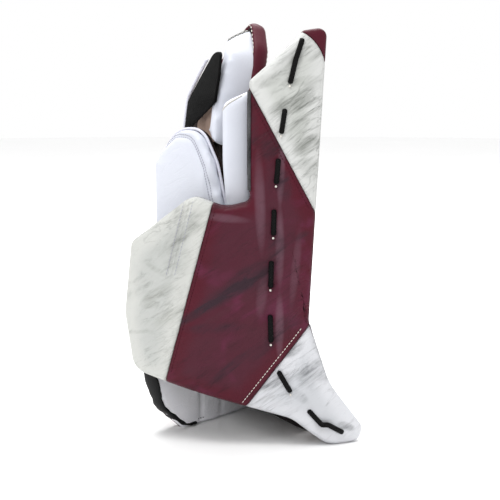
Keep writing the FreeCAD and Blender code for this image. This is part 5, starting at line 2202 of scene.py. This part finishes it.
@dataclass
class Pocket:
    """T of the pocket, its two nets, and what closes the break under it."""

    surface: WebSurface
    thick: float = 5.5
    bottom: float = 228.5
    highest: float = 366.0
    cord: float = 2.3
    pitch: float = 13.0

    def across(self, piece: bpy.types.Object, material: bpy.types.Material, slot: str, nodes: Sequence[str]) -> None:
        """Put a piece on that spans the pocket.

        Args:
            piece: The piece.
            material: Its material.
            slot: The record's material slot; not used.
            nodes: CAD nodes that it replaces.
        """
        thumb, index = self.surface.ends(300.0)
        bend_on(piece, material, nodes, index, thumb)

    def build(self, wardrobe: Wardrobe) -> None:
        """Make the pocket.

        Args:
            wardrobe: The finishes.
        """
        w = self.surface.width
        bar = ((0.0, 381.0, 0.0), (w, 361.5, 0.0), (w, 340.5, 0.0), (0.0, 360.5, 0.0))
        stem = ((0.4 * w, 352.0, 0.0), (0.6 * w, 348.0, 0.0), (0.6 * w, 228.0, 0.0), (0.4 * w, 228.0, 0.0))
        for name, corners, node in (("t_bar", bar, "pocket_bar"), ("t_stem", stem, "pocket_stem")):
            for side, front, nodes in (("front", -self.thick, (node,)), ("back", self.thick, ())):
                panel = Panel(f"{name}_{side}", self.surface, corners, front, 0.0, puff=0.8, grid=3.0,
                              rings=(0.4, 0.8), edge_radius=3.0, seed=len(name))
                self.across(panel.build(), wardrobe["maroon_clean"], "maroon_leather", nodes)
        for name, low, high, node in (("net_thumb", 1.0, 0.4 * w, "net_thumb_side"),
                                      ("net_index", 0.6 * w, w - 1.0, "net_index_side")):
            self.across(self.net(name, low, high), wardrobe["net_white"], "net", (node,))
        gusset = remeshed("heel_fold", ("heel_gusset",), 1.6, 3)
        bend_on(gusset, wardrobe["maroon_clean"], ("heel_gusset",), (52, 30, 60), (62, 8, 60))
        web = softened("break_fold", ("break_web",), 0.5)
        bend_on(web, wardrobe["black_leather"], ("break_web",), (29, 14, 170), (33, 7, 170))

    def top(self, s: float) -> float:
        """Height of the bar's lower edge.

        Args:
            s: Coordinate across the pocket.

        Returns:
            The height.
        """
        return 362.0 - 20.0 * s / self.surface.width

    def net(self, name: str, low: float, high: float) -> bpy.types.Object:
        """Net of crossing cords between two sides.

        Args:
            name: The net's name.
            low: Its thumb side.
            high: Its index side.

        Returns:
            The piece.
        """
        bm = bmesh.new()
        bottom = self.bottom
        for lean in (1.0, -1.0):
            shift = bottom - (high - low) * 1.2
            while shift < self.highest:
                flat = []
                for s in np.linspace(low, high, 12):
                    z = shift + lean * 1.2 * (s - (low + high) / 2) + (high - low) * 0.6
                    if bottom <= z <= self.top(s):
                        flat.append((s, z))
                if len(flat) > 2:
                    points = [self.surface.place(s, z, lean * 0.9 * math.sin(s * 0.9)) for s, z in flat]
                    outs = [self.surface.out(s, z) for s, z in flat]
                    Tube("cord", Rail(points, outs), self.cord, self.cord, sides=8).build(bm)
                shift += self.pitch
        frame_path = ((low, bottom, 0.0), (low, self.top(low), 0.0), (high, self.top(high), 0.0), (high, bottom, 0.0))
        rail = Rail.on(self.surface, frame_path, 0.0, 4.0, closed=True)
        Tube("cord", rail, 3.0, 3.0, sides=8, closed=True).build(bm)
        return make_object(name, bm)


# ---------------------------------------------------------------------------------------------- studio
@dataclass
class Studio:
    """Camera, pale floor and soft light."""

    eye: tuple = (0.00635, -1.2633, 0.3582)
    tilt: float = 82.0
    lens: float = 90.0
    floor: float = 6.0
    daylight: float = 1.0

    def camera(self) -> None:
        """Make the camera."""
        data = bpy.data.cameras.new("camera")
        data.lens = self.lens
        data.sensor_width = 36.0
        made = bpy.data.objects.new("camera", data)
        made.location = self.eye
        made.rotation_euler = (math.radians(self.tilt), 0.0, 0.0)
        bpy.context.scene.collection.objects.link(made)
        bpy.context.scene.camera = made

    def light(self, name: str, place: tuple, aim: tuple, size: float, power: float) -> None:
        """Make a soft lamp.

        Args:
            name: The lamp's name.
            place: Where it hangs.
            aim: The point that it faces.
            size: Its width.
            power: Its power in watts.
        """
        data = bpy.data.lights.new(name, "AREA")
        data.shape = "DISK"
        data.size = size
        data.energy = power
        made = bpy.data.objects.new(name, data)
        made.location = place
        made.rotation_euler = (Vector(aim) - Vector(place)).to_track_quat("-Z", "Y").to_euler()
        bpy.context.scene.collection.objects.link(made)

    def build(self) -> None:
        """Set the studio up."""
        self.camera()
        bm = bmesh.new()
        bmesh.ops.create_circle(bm, cap_ends=True, radius=self.floor, segments=64)
        floor = make_object("floor", bm, smooth=False)
        dye = Dye("floor_paint")
        cloud = dye.noise(dye.place, 3.0)
        floor.data.materials.append(dye.finish({}, dye.mix(colour("f6f6f6"), colour("fafafa"), cloud),
                                               cloud * 0.05 + 0.85, cloud, 0.0001))
        self.light("key", (-0.30, -0.45, 1.30), (0.0, 0.0, 0.22), 0.6, 7.5)
        self.light("floor_wash", (0.0, 0.9, 1.6), (0.0, 1.2, 0.0), 1.6, 36.0)
        world = bpy.data.worlds.new("room")
        world.use_nodes = True
        sky = world.node_tree.nodes["Background"]
        sky.inputs["Color"].default_value = (1.0, 1.0, 1.0, 1.0)
        sky.inputs["Strength"].default_value = self.daylight
        bpy.context.scene.world = world
        bpy.context.scene.view_settings.view_transform = "Standard"


def main() -> None:
    """Dress the glove."""
    logging.basicConfig(level=logging.INFO, format="%(message)s")
    Studio().build()
    wardrobe = Wardrobe()
    near, palm = NearSurface(), PalmSurface()
    for part in (ThumbCuff(near), HandSide(), WristGuard(), PalmWall(palm), HandPockets(palm), FarWing(WingSurface()),
                 Strap(), Pocket(WebSurface(near, palm))):
        part.build(wardrobe)
        LOG.info("%s is done", type(part).__name__)
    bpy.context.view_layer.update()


if __name__ == "__main__":
    main()
